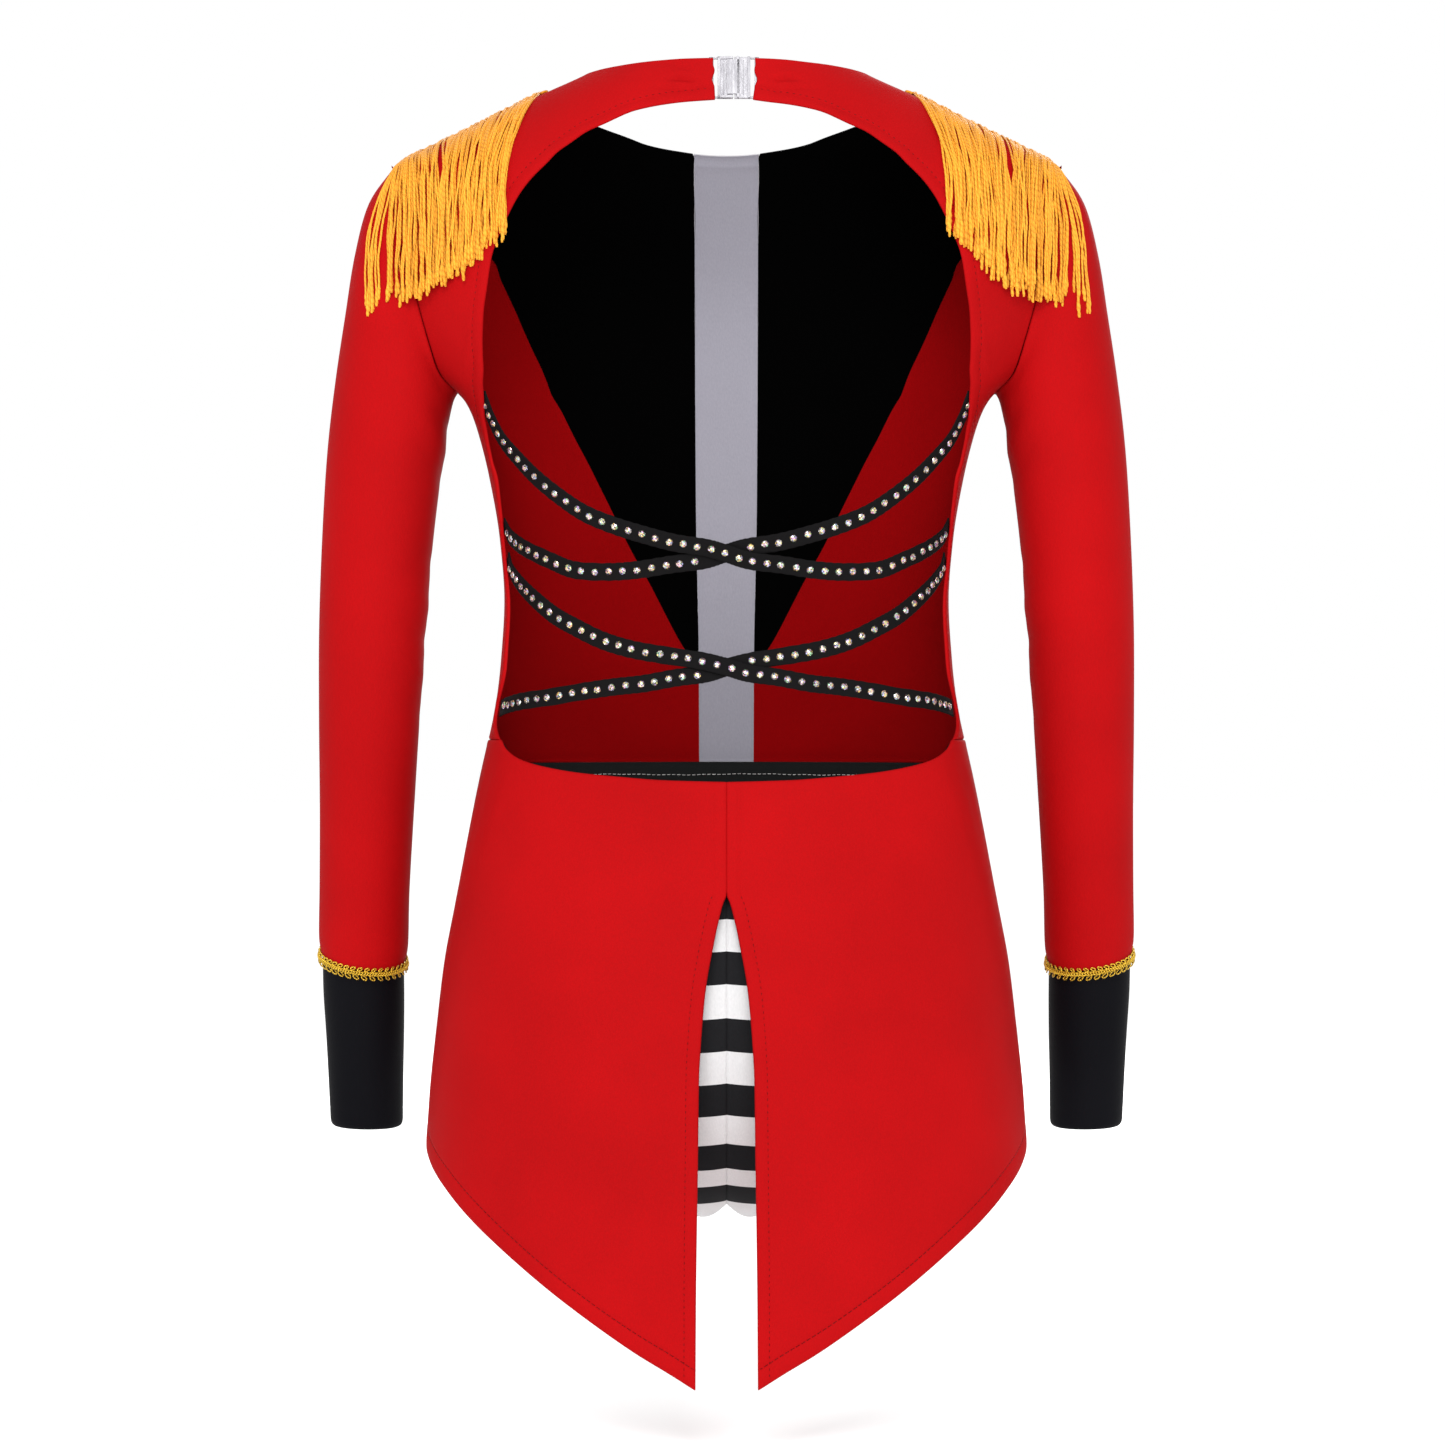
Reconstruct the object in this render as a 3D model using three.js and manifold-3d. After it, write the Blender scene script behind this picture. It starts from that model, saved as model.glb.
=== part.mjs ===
// Stage costume: leotard with an open back, long sleeves and coat tails.
// Units are millimetres. +Z is up, +X is the wearer's right, and the wearer looks along +Y.
// The origin is midway between the shoulders, at the height of the shoulder line.
// Sizes in columns sx and sz are as drawn on the plane y = 0 from an eye EYE mm behind the
// wearer at height EYE_Z, and the function place sets them on the cloth behind or in front of it.
import * as THREE from "three";
import Module from "manifold-3d";

const EYE = 2600;
const EYE_Z = -311;
const CLOTH = 1.2; // wall of every cloth panel
const SEAM = 0.3; // gap between two pieces that meet
const ROUND = 2.2; // exponent of the torso's horizontal sections
const SIDE_SEAM = -8; // degrees round from the side towards the front
const SWELL_END = 30; // degrees from the side at which the swell column holds in full
const ARM_BACK = 24.5; // armhole's reach towards the back, in degrees
const ARM_FRONT = 27;
const ARM_TOP = -34;
const ARM_BOTTOM = -146;
const ARM_SQUARE = 2.6; // exponent of the armhole's outline
const RING = 16; // points round a sleeve
const ARM_STEP = 360 / RING;
const ARM_LOW = 192; // turn at which the armhole meets the side seam
const SIDE_LOW = -270; // height up to which the front's side rows are level
const WAIST_SIDE = -319.3;
const WAIST_FRONT = -331;
const WAIST_LEVEL = -30; // angle from which the front's waist seam is level
const WEBBING_WIDTH = 8.7;
const WEBBING_THICK = 1.0;
const BAND_HEIGHT = 14; // inner waist band
const rad = Math.PI / 180;

// Torso sections by height: half width at the side, swell of that width away from the side,
// depth behind the side line and depth in front of it.
const TORSO = [
  { z: 22, half: 52, swell: 0, back: 54, front: 42 },
  { z: 11.5, half: 71, swell: 0, back: 57, front: 46 },
  { z: 0, half: 96.5, swell: 0, back: 60.5, front: 52 },
  { z: -16.5, half: 130, swell: 0, back: 66, front: 59 },
  { z: -25, half: 148, swell: 0, back: 69, front: 63 },
  { z: -34, half: 166, swell: 0, back: 73, front: 67 },
  { z: -47, half: 176, swell: 0, back: 77, front: 71 },
  { z: -80, half: 178, swell: -4, back: 83, front: 80 },
  { z: -104, half: 172, swell: -7, back: 85, front: 84 },
  { z: -128, half: 160, swell: -7, back: 86, front: 86 },
  { z: -137, half: 150, swell: -3, back: 86, front: 86 },
  { z: -146, half: 134.5, swell: 6.5, back: 85.5, front: 86 },
  { z: -155, half: 128, swell: 6, back: 85, front: 86 },
  { z: -168, half: 123.5, swell: 4, back: 83, front: 86 },
  { z: -190, half: 118.2, swell: 2, back: 79, front: 86 },
  { z: -220, half: 113.2, swell: 0, back: 73, front: 84 },
  { z: -250, half: 111, swell: 0, back: 69, front: 82 },
  { z: -280, half: 112.7, swell: 0, back: 70, front: 82 },
  { z: -300, half: 115, swell: 0, back: 73, front: 83 },
  { z: -320, half: 119, swell: 0, back: 76, front: 84 },
  { z: -345, half: 124.5, swell: 0, back: 79, front: 86 },
];

// Coat tails by height, outside the brief.
const TAILS = [
  { z: -319, half: 119, back: 76, front: 84 },
  { z: -340, half: 123.7, back: 79, front: 86 },
  { z: -370, half: 129.7, back: 87, front: 90 },
  { z: -400, half: 135.3, back: 95, front: 94 },
  { z: -430, half: 140.7, back: 102, front: 98 },
  { z: -460, half: 144.5, back: 108, front: 101 },
  { z: -490, half: 147.2, back: 113, front: 103 },
  { z: -520, half: 149.7, back: 116, front: 104 },
  { z: -560, half: 152, back: 118, front: 104 },
  { z: -600, half: 153, back: 117, front: 104 },
  { z: -650, half: 153, back: 115, front: 104 },
];

// Edge of the open back from the waist up to the end of the neck band, left half.
// What the other edge of the panel does in the same row: side seam by height, armhole by
// angle round its loop, shoulder seam by height, neck edge by angle round the neck.
const BACK_ROWS = [
  { sx: 114.2, sz: -319.3, side: -319.2 },
  { sx: 116.2, sz: -311, side: -311 },
  { sx: 115.2, sz: -302.5, side: -303 },
  { sx: 111.75, sz: -287.5, side: -287 },
  { sx: 110.25, sz: -270, side: -270 },
  { sx: 109.5, sz: -252.5, side: -252 },
  { sx: 110.9, sz: -235, side: -235 },
  { sx: 112.4, sz: -220, side: -220 },
  { sx: 113.75, sz: -205, side: -205 },
  { sx: 115.5, sz: -190, side: -190 },
  { sx: 118.75, sz: -177.5, side: -176 },
  { sx: 121.5, sz: -162, side: -160 },
  { sx: 122.4, sz: -149, arm: 192 },
  { sx: 122.7, sz: -139, arm: 180 },
  { sx: 122.8, sz: -127, arm: 157.5 },
  { sx: 122.7, sz: -114, arm: 135 },
  { sx: 121.6, sz: -100, arm: 112.5 },
  { sx: 119.2, sz: -84, arm: 90 },
  { sx: 116, sz: -71, arm: 67.5 },
  { sx: 111.2, sz: -60, arm: 45 },
  { sx: 104.5, sz: -47, arm: 22.5 },
  { sx: 97.25, sz: -37.5, arm: 0 },
  { sx: 89.75, sz: -30, ridge: -24 },
  { sx: 81.75, sz: -22.5, ridge: -14 },
  { sx: 70.75, sz: -15, ridge: -2 },
  { sx: 61.75, sz: -11, ridge: 11.5 },
  { sx: 49.75, sz: -5.5, neck: 22 },
  { sx: 40.75, sz: -3, neck: 42 },
  { sx: 30.75, sz: -1.2, neck: 58 },
  { sx: 20.75, sz: 0, neck: 72 },
];
const NECK_BACK = 14.4; // height of the neck edge at centre back
const NECK_CORNER = 11.5;

// Seam between the black vee and the red side front, as seen through the open back.
const VEE_SEAM = [
  { sx: 15.4, sz: -278 },
  { sx: 22.3, sz: -272.5 },
  { sx: 38.3, sz: -242.5 },
  { sx: 50.8, sz: -220 },
  { sx: 61.8, sz: -197.5 },
  { sx: 69.3, sz: -182.5 },
  { sx: 77.3, sz: -167.5 },
  { sx: 86.8, sz: -150 },
  { sx: 92.8, sz: -135 },
  { sx: 99.8, sz: -120 },
  { sx: 106.3, sz: -105 },
  { sx: 113.3, sz: -90 },
  { sx: 119, sz: -78 },
];
const VEE_RIDGE = -25.5; // height at which that seam meets the shoulder seam
const VEE_POINT = 1.1; // width of the vee's lowest end, in degrees
const VEE_TURN = [
  { angle: -36, z: -52 },
  { angle: -22, z: -37 },
];
// Half width of the white centre strip, and front neck edge from centre to shoulder.
const STRIP = [
  { z: -18, half: 16.4 },
  { z: -120, half: 16.2 },
  { z: -200, half: 15.8 },
  { z: -279, half: 14.3 },
  { z: -331, half: 14.1 },
];
const FRONT_NECK = [
  { sx: 0, sz: -27.5 },
  { sx: 16.2, sz: -26.5 },
  { sx: 38.25, sz: -22.5 },
  { sx: 58.75, sz: -15 },
];
const FRONT_NECK_TURN = [{ angle: -20, z: 5.5 }];

// Sleeve rings: outer and inner end in the x-z plane, their shift towards the front, half
// depth, tilt of the near side down, squareness of the section and share of the armhole's form.
const SLEEVE = [
  { ox: 178.5, oz: -52, ix: 136.2, iz: -149, shift: 0, depth: 38, tilt: 0, square: 2.5, arm: 0.6 },
  { ox: 185.6, oz: -78, ix: 137.5, iz: -153.5, shift: 0, depth: 38.5, tilt: 0, square: 2.4, arm: 0.25 },
  { ox: 190.4, oz: -108, ix: 138.9, iz: -161, shift: -0.5, depth: 38, tilt: 0, square: 2.3, arm: 0.08 },
  { ox: 195.2, oz: -140, ix: 141, iz: -177, shift: -1, depth: 36.5, tilt: 0, square: 2.2, arm: 0 },
  { ox: 199.2, oz: -175, ix: 144, iz: -198, shift: -2, depth: 34.5, tilt: 0, square: 2.1, arm: 0 },
  { ox: 201.8, oz: -216, ix: 147.3, iz: -228, shift: -2, depth: 32, tilt: 2, square: 2, arm: 0 },
  { ox: 203.6, oz: -262, ix: 150.3, iz: -266, shift: 0, depth: 29.5, tilt: 5, square: 2, arm: 0 },
  { ox: 204.1, oz: -308, ix: 153.7, iz: -310, shift: 5, depth: 27.5, tilt: 10, square: 2, arm: 0 },
  { ox: 204.4, oz: -352, ix: 157, iz: -355, shift: 14, depth: 25.5, tilt: 13, square: 2, arm: 0 },
  { ox: 205.3, oz: -392, ix: 159.9, iz: -396, shift: 24, depth: 24, tilt: 15, square: 2, arm: 0 },
  { ox: 206.1, oz: -418, ix: 161, iz: -423, shift: 31, depth: 23.2, tilt: 16, square: 2, arm: 0 },
  { ox: 205, oz: -427, ix: 162.8, iz: -432, shift: 33, depth: 21.8, tilt: 16, square: 2, arm: 0 },
];
const CUFF = [
  { ox: 204.4, oz: -427.3, ix: 163.3, iz: -432.3, shift: 33.1, depth: 21.4, tilt: 16, square: 2, arm: 0 },
  { ox: 204.4, oz: -447, ix: 163.4, iz: -451, shift: 38, depth: 21.4, tilt: 13, square: 2, arm: 0 },
  { ox: 203.4, oz: -469, ix: 163.9, iz: -472, shift: 43.5, depth: 21, tilt: 10, square: 2, arm: 0 },
  { ox: 202.6, oz: -492, ix: 164.6, iz: -494, shift: 49, depth: 20.2, tilt: 7, square: 2, arm: 0 },
  { ox: 201.8, oz: -516.5, ix: 165.1, iz: -517, shift: 54, depth: 19.5, tilt: 4, square: 2, arm: 0 },
];

// Hem of a tail by its angle round the body, and half width of the vent by height.
const HEM = [
  { angle: 86, z: -630.8 },
  { angle: 81.1, z: -621.8 },
  { angle: 75.9, z: -613.3 },
  { angle: 70.4, z: -604.1 },
  { angle: 64.5, z: -594.4 },
  { angle: 58, z: -584.2 },
  { angle: 50.8, z: -573.2 },
  { angle: 42.4, z: -561 },
  { angle: 31.6, z: -546.6 },
  { angle: 24, z: -537.8 },
  { angle: 12, z: -527.5 },
  { angle: 0, z: -519 },
  { angle: -12, z: -503 },
  { angle: -24, z: -478 },
  { angle: -36, z: -440 },
  { angle: -46, z: -395 },
  { angle: -54, z: -347 },
];
const TAIL_FRONT = -54; // angle at which a tail ends, towards the front
const VENT = [
  { z: -394.8, half: 0 },
  { z: -397, half: 1.6 },
  { z: -402.5, half: 3.1 },
  { z: -411, half: 5.1 },
  { z: -417, half: 6.3 },
  { z: -425.5, half: 8 },
  { z: -435, half: 9.7 },
  { z: -444.7, half: 10.9 },
  { z: -463.8, half: 12.5 },
  { z: -483, half: 13.5 },
  { z: -521, half: 13.95 },
  { z: -550, half: 14.4 },
  { z: -588, half: 14.85 },
  { z: -640, half: 15.2 },
];
const VENT_FADE = 5; // how fast the vent's set-back dies out round the tail
const VENT_AT_HEM = 4.4; // that set-back at the hem, in degrees
const TAIL_ROWS = [0, 0.06, 0.12, 0.17, 0.192, 0.22, 0.26, 0.31, 0.37, 0.46, 0.58, 0.72, 0.86, 1];
const TAIL_COLUMNS = [90, 84, 75, 65, 55, 45, 35, 25, 14, 3, -8, -19, -30, -41, TAIL_FRONT];
// Top edge of the tails and the brief at the back, below the open back.
const SCOOP = [
  { angle: 90, z: -339.6 },
  { angle: 76.8, z: -338.7 },
  { angle: 67.3, z: -337.2 },
  { angle: 56.6, z: -335.4 },
  { angle: 45.6, z: -332.7 },
  { angle: 34.8, z: -329.1 },
  { angle: 25.1, z: -323.6 },
  { angle: 20.6, z: WAIST_SIDE },
];

// Brief, half of the back: point at the centre seam, point at the side or leg edge, and how
// far round its arc the row goes, and its share of the centre seam's lift.
const BRIEF_BACK = [
  { cy: -81.5, cz: -366, ex: 121.5, ey: 10, ez: -350, arc: 90, lift: 0 },
  { cy: -86.5, cz: -392, ex: 125.5, ey: 9, ez: -376, arc: 90, lift: 0 },
  { cy: -91, cz: -420, ex: 128.5, ey: 8, ez: -401, arc: 90, lift: 0 },
  { cy: -93.5, cz: -448, ex: 129, ey: 5, ez: -424, arc: 88, lift: 0 },
  { cy: -93, cz: -476, ex: 121, ey: -28, ez: -448, arc: 76, lift: 0 },
  { cy: -88, cz: -502, ex: 100, ey: -55, ez: -476, arc: 60, lift: 0 },
  { cy: -77, cz: -524, ex: 75, ey: -64, ez: -504, arc: 46, lift: 0.05 },
  { cy: -60, cz: -541, ex: 53, ey: -56, ez: -527, arc: 34, lift: 0.15 },
  { cy: -38, cz: -553, ex: 37, ey: -38, ez: -541, arc: 26, lift: 0.45 },
  { cy: -14, cz: -560.5, ex: 29, ey: -14, ez: -548, arc: 20, lift: 0.85 },
  { cy: -4.15, cz: -562, ex: 28, ey: -4.15, ez: -548.5, arc: 20, lift: 1 },
];
const BRIEF_FRONT = [
  { cy: 84, cz: -356, ex: 121.5, ey: 10, ez: -350, arc: 90, lift: 0 },
  { cy: 84, cz: -384, ex: 125.5, ey: 9, ez: -376, arc: 90, lift: 0 },
  { cy: 82, cz: -412, ex: 128.5, ey: 8, ez: -401, arc: 90, lift: 0 },
  { cy: 79, cz: -440, ex: 129, ey: 5, ez: -424, arc: 90, lift: 0 },
  { cy: 74, cz: -468, ex: 112, ey: 34, ez: -450, arc: 72, lift: 0 },
  { cy: 67, cz: -496, ex: 84, ey: 47, ez: -480, arc: 52, lift: 0 },
  { cy: 56, cz: -522, ex: 54, ey: 46, ez: -512, arc: 36, lift: 0 },
  { cy: 38, cz: -541, ex: 35, ey: 34, ez: -536, arc: 26, lift: 0 },
  { cy: 14, cz: -556, ex: 28.5, ey: 14, ez: -547, arc: 20, lift: 0.35 },
  { cy: -3.85, cz: -562, ex: 28, ey: -3.85, ez: -548.5, arc: 20, lift: 1 },
];
const BRIEF_INSET = CLOTH + 0.9; // brief's outer face inside the tails' at the waist
const BRIEF_MIDDLE = new THREE.Vector3(0, 0, -430);
const SEAM_LIFT = 11.4; // how far the centre back seam draws the crotch up
const SEAM_LIFT_WIDTH = 8;
const SEAM_LIFT_POWER = 1.3;

// Straps across the open back, left end to right end, and how deep each lies under the
// cloth's surface. The other two are their mirror images, one layer deeper at the crossing.
const STRAP_HIGH = [
  { sx: -123.6, sz: -150 },
  { sx: -120.2, sz: -158.5 },
  { sx: -114.2, sz: -170 },
  { sx: -105.7, sz: -180 },
  { sx: -96.2, sz: -189.5 },
  { sx: -84.2, sz: -199 },
  { sx: -71.7, sz: -207 },
  { sx: -56.7, sz: -213 },
  { sx: -41.7, sz: -217.5 },
  { sx: -26.2, sz: -221.5 },
  { sx: -10.2, sz: -224 },
  { sx: 0.3, sz: -227 },
  { sx: 11.8, sz: -230.5 },
  { sx: 28.3, sz: -232.5 },
  { sx: 44.8, sz: -235 },
  { sx: 60.3, sz: -236 },
  { sx: 77.3, sz: -235 },
  { sx: 89.3, sz: -230.5 },
  { sx: 102.3, sz: -224.5 },
  { sx: 109.8, sz: -219 },
  { sx: 112.4, sz: -214.5 },
];
const STRAP_LOW = [
  { sx: -110.9, sz: -231.5 },
  { sx: -109.5, sz: -236 },
  { sx: -104.2, sz: -243 },
  { sx: -96.2, sz: -250.5 },
  { sx: -87.2, sz: -257.5 },
  { sx: -77.2, sz: -263 },
  { sx: -63.7, sz: -269.5 },
  { sx: -49.2, sz: -274 },
  { sx: -32.7, sz: -277 },
  { sx: -12.7, sz: -280 },
  { sx: 0.3, sz: -283 },
  { sx: 10.8, sz: -286 },
  { sx: 25.8, sz: -288 },
  { sx: 42.3, sz: -291 },
  { sx: 57.3, sz: -292.7 },
  { sx: 72.8, sz: -295 },
  { sx: 90.3, sz: -298 },
  { sx: 104.3, sz: -300 },
  { sx: 112, sz: -302 },
  { sx: 114.2, sz: -303 },
];
const STRAP_DEPTH = CLOTH + SEAM + WEBBING_THICK / 2 + 0.35;
const STRAP_STEP = WEBBING_THICK + SEAM + 0.6;
const STRAP_STEP_WIDTH = 50;

// Neck clasp, clear plastic: two plates whose outer bars lie behind the band's ends.
const CLASP = { x: 3.6, z: 4.4, lean: 15, height: 21.5, half: 12.2, bar: 2.2, slot: 4.4, plate: 1.8 };
const CLASP_BAR_THICK = 0.7; // share of the plate's thickness that the outer bars have
const CLASP_RAIL = 0.9; // height of the rails above and below the slot
const CLASP_FRAME = 1.3; // height of the loop half's upper and lower frame
const CLASP_RIB = 1.4; // width of the ribs beside the slots
const CLASP_RAISE = 0.9; // how far ribs and frame stand proud
const CLASP_NECK = 1.2; // width of the hook's neck
const CLASP_TONGUE = { from: -3.4, to: 2.6, rise: 1.5, short: 1.7 };
const CLASP_BEHIND = 1.2; // air between the clasp and the band's inside

// Braid over the cuff seam.
const BRAID = { height: 6.6, thick: 1.4, drop: 1.5, clear: 0.25, square: 0.7 };

// Shoulder fringe: header on the shoulder line, tips and hang of its strands.
const FRINGE_RIDGE = [
  { along: 0, x: 93, z: 2.2 },
  { along: 0.2, x: 108, z: -5.4 },
  { along: 0.5, x: 131, z: -17 },
  { along: 0.8, x: 155, z: -28.5 },
  { along: 1, x: 163, z: -32.6 },
];
const HEADER = { width: 6, thick: 1.4, y: 4.5, sides: 12, lift: 0.9, lean: 0.175 };
// Hanging strands by their share of the header's length: place and tip height behind, in front.
const HANG = [
  { along: 0, back: 108.5, tip: -66, front: 106, frontTip: -62 },
  { along: 0.12, back: 114, tip: -74, front: 113, frontTip: -70 },
  { along: 0.3, back: 127, tip: -84, front: 127, frontTip: -82 },
  { along: 0.5, back: 140, tip: -96, front: 142, frontTip: -92 },
  { along: 0.72, back: 153, tip: -102, front: 158, frontTip: -98 },
  { along: 0.86, back: 163, tip: -105, front: 170, frontTip: -102 },
  { along: 0.9, back: 171, tip: -107, front: 173, frontTip: -103 },
  { along: 1, back: 180.5, tip: -106, front: 181, frontTip: -104 },
];
const STRANDS_BACK = 38;
const STRANDS_FRONT = 24;
const STRAND_STEPS = [0.08, 0.38, 1];
const STRAND_RADIUS = 0.75;
const STRAND_CLEAR = 1.8; // a lower strand's axis off the cloth
const STRAND_LAYER = 1.7; // how much further off an upper strand's axis lies
const STRAND_ROOT = 1.2; // how far behind or before the header's middle a strand starts
const RIM_LIFT = 0.6; // extra height of a strand where it passes the shoulder line
const RIM_BACK = -5; // where it turns down, behind
const RIM_FRONT = 10.5; // and in front
const TIP_SPREAD = 3; // how far tips differ in height from the table

const wasm = await Module();
wasm.setup();
const root = new THREE.Group();

// Value of a column at a place along a table, by a smooth curve through its rows.
function along(table, key, at, column) {
  const up = table[table.length - 1][key] > table[0][key];
  const rows = up ? table : [...table].reverse();
  const last = rows.length - 1;
  if (at <= rows[0][key]) return rows[0][column];
  if (at >= rows[last][key]) return rows[last][column];
  let i = 0;
  while (rows[i + 1][key] < at) i++;
  const slope = (j) => (rows[j + 1][column] - rows[j][column]) / (rows[j + 1][key] - rows[j][key]);
  const tangent = (j) => {
    if (j === 0) return slope(0);
    if (j === last) return slope(last - 1);
    const before = slope(j - 1);
    const after = slope(j);
    return before * after <= 0 ? 0 : (2 * before * after) / (before + after);
  };
  const h = rows[i + 1][key] - rows[i][key];
  const t = (at - rows[i][key]) / h;
  const t2 = t * t;
  const t3 = t2 * t;
  return (
    (2 * t3 - 3 * t2 + 1) * rows[i][column] +
    (t3 - 2 * t2 + t) * h * tangent(i) +
    (3 * t2 - 2 * t3) * rows[i + 1][column] +
    (t3 - t2) * h * tangent(i + 1)
  );
}

const power = (value, exponent) => Math.sign(value) * Math.abs(value) ** exponent;
const mix = (a, b, t) => a + (b - a) * t;
const smooth = (t) => t * t * (3 - 2 * t);
const clamp = (v, low, high) => Math.min(high, Math.max(low, v));
const range = (n) => Array.from({ length: n }, (_, i) => i);

// Left half of the torso: angle 0 is the side, 90 centre back and -90 centre front.
function torso(angle, z) {
  const swell = along(TORSO, "z", z, "swell") * smooth(clamp(Math.abs(angle) / SWELL_END, 0, 1));
  const half = along(TORSO, "z", z, "half") + swell;
  return section(angle, z, half, along(TORSO, "z", z, angle > 0 ? "back" : "front"));
}

function tail(angle, z) {
  const half = along(TAILS, "z", z, "half");
  return section(angle, z, half, along(TAILS, "z", z, angle > 0 ? "back" : "front"));
}

function section(angle, z, half, depth) {
  const x = half * power(Math.cos(angle * rad), 2 / ROUND);
  const y = depth * power(Math.sin(angle * rad), 2 / ROUND);
  return new THREE.Vector3(-x, -y, z);
}

// Angle at which a surface passes at the distance x from the middle.
function angleAt(surface, x, z, front) {
  let low = 0;
  let high = 90;
  for (const _ of range(40)) {
    const middle = (low + high) / 2;
    const reach = -surface(front ? -middle : middle, z).x;
    if (reach > x) low = middle;
    else high = middle;
  }
  return front ? -low : low;
}

// Puts a size that is drawn on the plane y = 0 onto a surface, as the eye sees it.
function place(surface, sx, sz, front = false) {
  let y = front ? 60 : -60;
  let found;
  for (const _ of range(12)) {
    const scale = (EYE + y) / EYE;
    const z = EYE_Z + (sz - EYE_Z) * scale;
    found = { angle: angleAt(surface, sx * scale, z, front), z };
    y = surface(found.angle, z).y;
  }
  return found;
}

function normalOf(surface, angle, z) {
  const da = surface(angle + 0.6, z).sub(surface(angle - 0.6, z));
  const dz = surface(angle, z + 0.4).sub(surface(angle, z - 0.4));
  const n = da.cross(dz).normalize();
  const p = surface(angle, z);
  return n.dot(new THREE.Vector3(p.x, p.y, 0)) < 0 ? n.negate() : n;
}

// Closed wall from two grids of points, the face outside and the face inside.
function wall(outer, inner, closed = false) {
  const rows = outer.length;
  const columns = outer[0].length;
  const points = [...outer.flat(), ...inner.flat()];
  const base = rows * columns;
  const at = (i, j) => i * columns + (j % columns);
  const faces = [];
  const quad = (a, b, c, d) => faces.push([a, b, c], [a, c, d]);
  const steps = closed ? columns : columns - 1;
  for (const i of range(rows - 1)) {
    for (const j of range(steps)) {
      quad(at(i, j), at(i, j + 1), at(i + 1, j + 1), at(i + 1, j));
      quad(base + at(i, j), base + at(i + 1, j), base + at(i + 1, j + 1), base + at(i, j + 1));
    }
  }
  for (const j of range(steps)) {
    quad(at(0, j), base + at(0, j), base + at(0, j + 1), at(0, j + 1));
    const e = rows - 1;
    quad(at(e, j), at(e, j + 1), base + at(e, j + 1), base + at(e, j));
  }
  if (!closed) {
    for (const i of range(rows - 1)) {
      const e = columns - 1;
      quad(at(i, 0), at(i + 1, 0), base + at(i + 1, 0), base + at(i, 0));
      quad(at(i, e), base + at(i, e), base + at(i + 1, e), at(i + 1, e));
    }
  }
  return solid(points, faces);
}

// Solid from points and triangles, turned to face out.
function solid(points, faces) {
  const volume = faces.reduce((sum, [a, b, c]) => {
    const cross = points[b].clone().cross(points[c]);
    return sum + points[a].dot(cross);
  }, 0);
  const turned = volume < 0 ? faces.map(([a, b, c]) => [a, c, b]) : faces;
  const geometry = new THREE.BufferGeometry();
  geometry.setAttribute(
    "position",
    new THREE.Float32BufferAttribute(points.flatMap((p) => [p.x, p.y, p.z]), 3),
  );
  geometry.setIndex(turned.flat());
  return geometry;
}

function add(name, geometry, colour) {
  const material = new THREE.MeshStandardMaterial({ color: colour, roughness: 0.75 });
  const mesh = new THREE.Mesh(geometry, material);
  mesh.name = name;
  root.add(mesh);
}

// The same solid on the wearer's right.
function mirrored(geometry) {
  const copy = geometry.clone();
  copy.scale(-1, 1, 1);
  const index = copy.index.array;
  for (let i = 0; i < index.length; i += 3) {
    [index[i + 1], index[i + 2]] = [index[i + 2], index[i + 1]];
  }
  return copy;
}

function addPair(name, geometry, colour) {
  add(name + "_left", geometry, colour);
  add(name + "_right", mirrored(geometry), colour);
}

// Panel of cloth on a surface, ruled between two edges of {angle, z}, set back by half a seam.
function panel(surface, first, second, columns, depth = 0) {
  const grid = first.map((a, i) =>
    range(columns + 1).map((j) => {
      const t = j / columns;
      return { angle: mix(a.angle, second[i].angle, t), z: mix(a.z, second[i].z, t) };
    }),
  );
  return panelOf(surface, grid, depth);
}

function panelOf(surface, grid, depth = 0) {
  const normals = grid.map((row) => row.map((g) => normalOf(surface, g.angle, g.z)));
  const raw = grid.map((row) => row.map((g) => surface(g.angle, g.z)));
  const points = setBack(raw, SEAM / 2);
  const shifted = (by) =>
    points.map((row, i) => row.map((p, j) => p.clone().addScaledVector(normals[i][j], -by)));
  return wall(shifted(depth), shifted(depth + CLOTH));
}

// Moves the four edges of a grid of points inwards by a distance.
function setBack(points, distance) {
  const out = points.map((row) => row.map((p) => p.clone()));
  const pull = (target, from, to) => {
    const step = to.clone().sub(from);
    const length = step.length();
    if (length > 1e-6) target.addScaledVector(step, Math.min(distance / length, 0.45));
  };
  const rows = points.length - 1;
  const columns = points[0].length - 1;
  for (const j of range(columns + 1)) {
    pull(out[0][j], points[0][j], points[1][j]);
    pull(out[rows][j], points[rows][j], points[rows - 1][j]);
  }
  for (const i of range(rows + 1)) {
    pull(out[i][0], points[i][0], points[i][1]);
    pull(out[i][columns], points[i][columns], points[i][columns - 1]);
  }
  return out;
}

// Point of the armhole's loop: 0 is its top, 90 its back, 180 the underarm, 270 its front.
function armhole(turn) {
  const c = power(Math.cos(turn * rad), 2 / ARM_SQUARE);
  const s = power(Math.sin(turn * rad), 2 / ARM_SQUARE);
  const middle = (ARM_TOP + ARM_BOTTOM) / 2;
  return {
    angle: s * (s > 0 ? ARM_BACK : ARM_FRONT),
    z: middle + (c * (ARM_TOP - ARM_BOTTOM)) / 2,
  };
}

// Height of the waist seam: level at the side, lower all along the front.
function waist(angle) {
  if (angle > 0) return along(SCOOP, "angle", angle, "z");
  const t = clamp((SIDE_SEAM - angle) / (SIDE_SEAM - WAIST_LEVEL), 0, 1);
  return mix(WAIST_SIDE, WAIST_FRONT, smooth(t));
}

function neckBack(angle) {
  return { angle, z: mix(NECK_CORNER, NECK_BACK, smooth(clamp(angle / 80, 0, 1))) };
}

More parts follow.
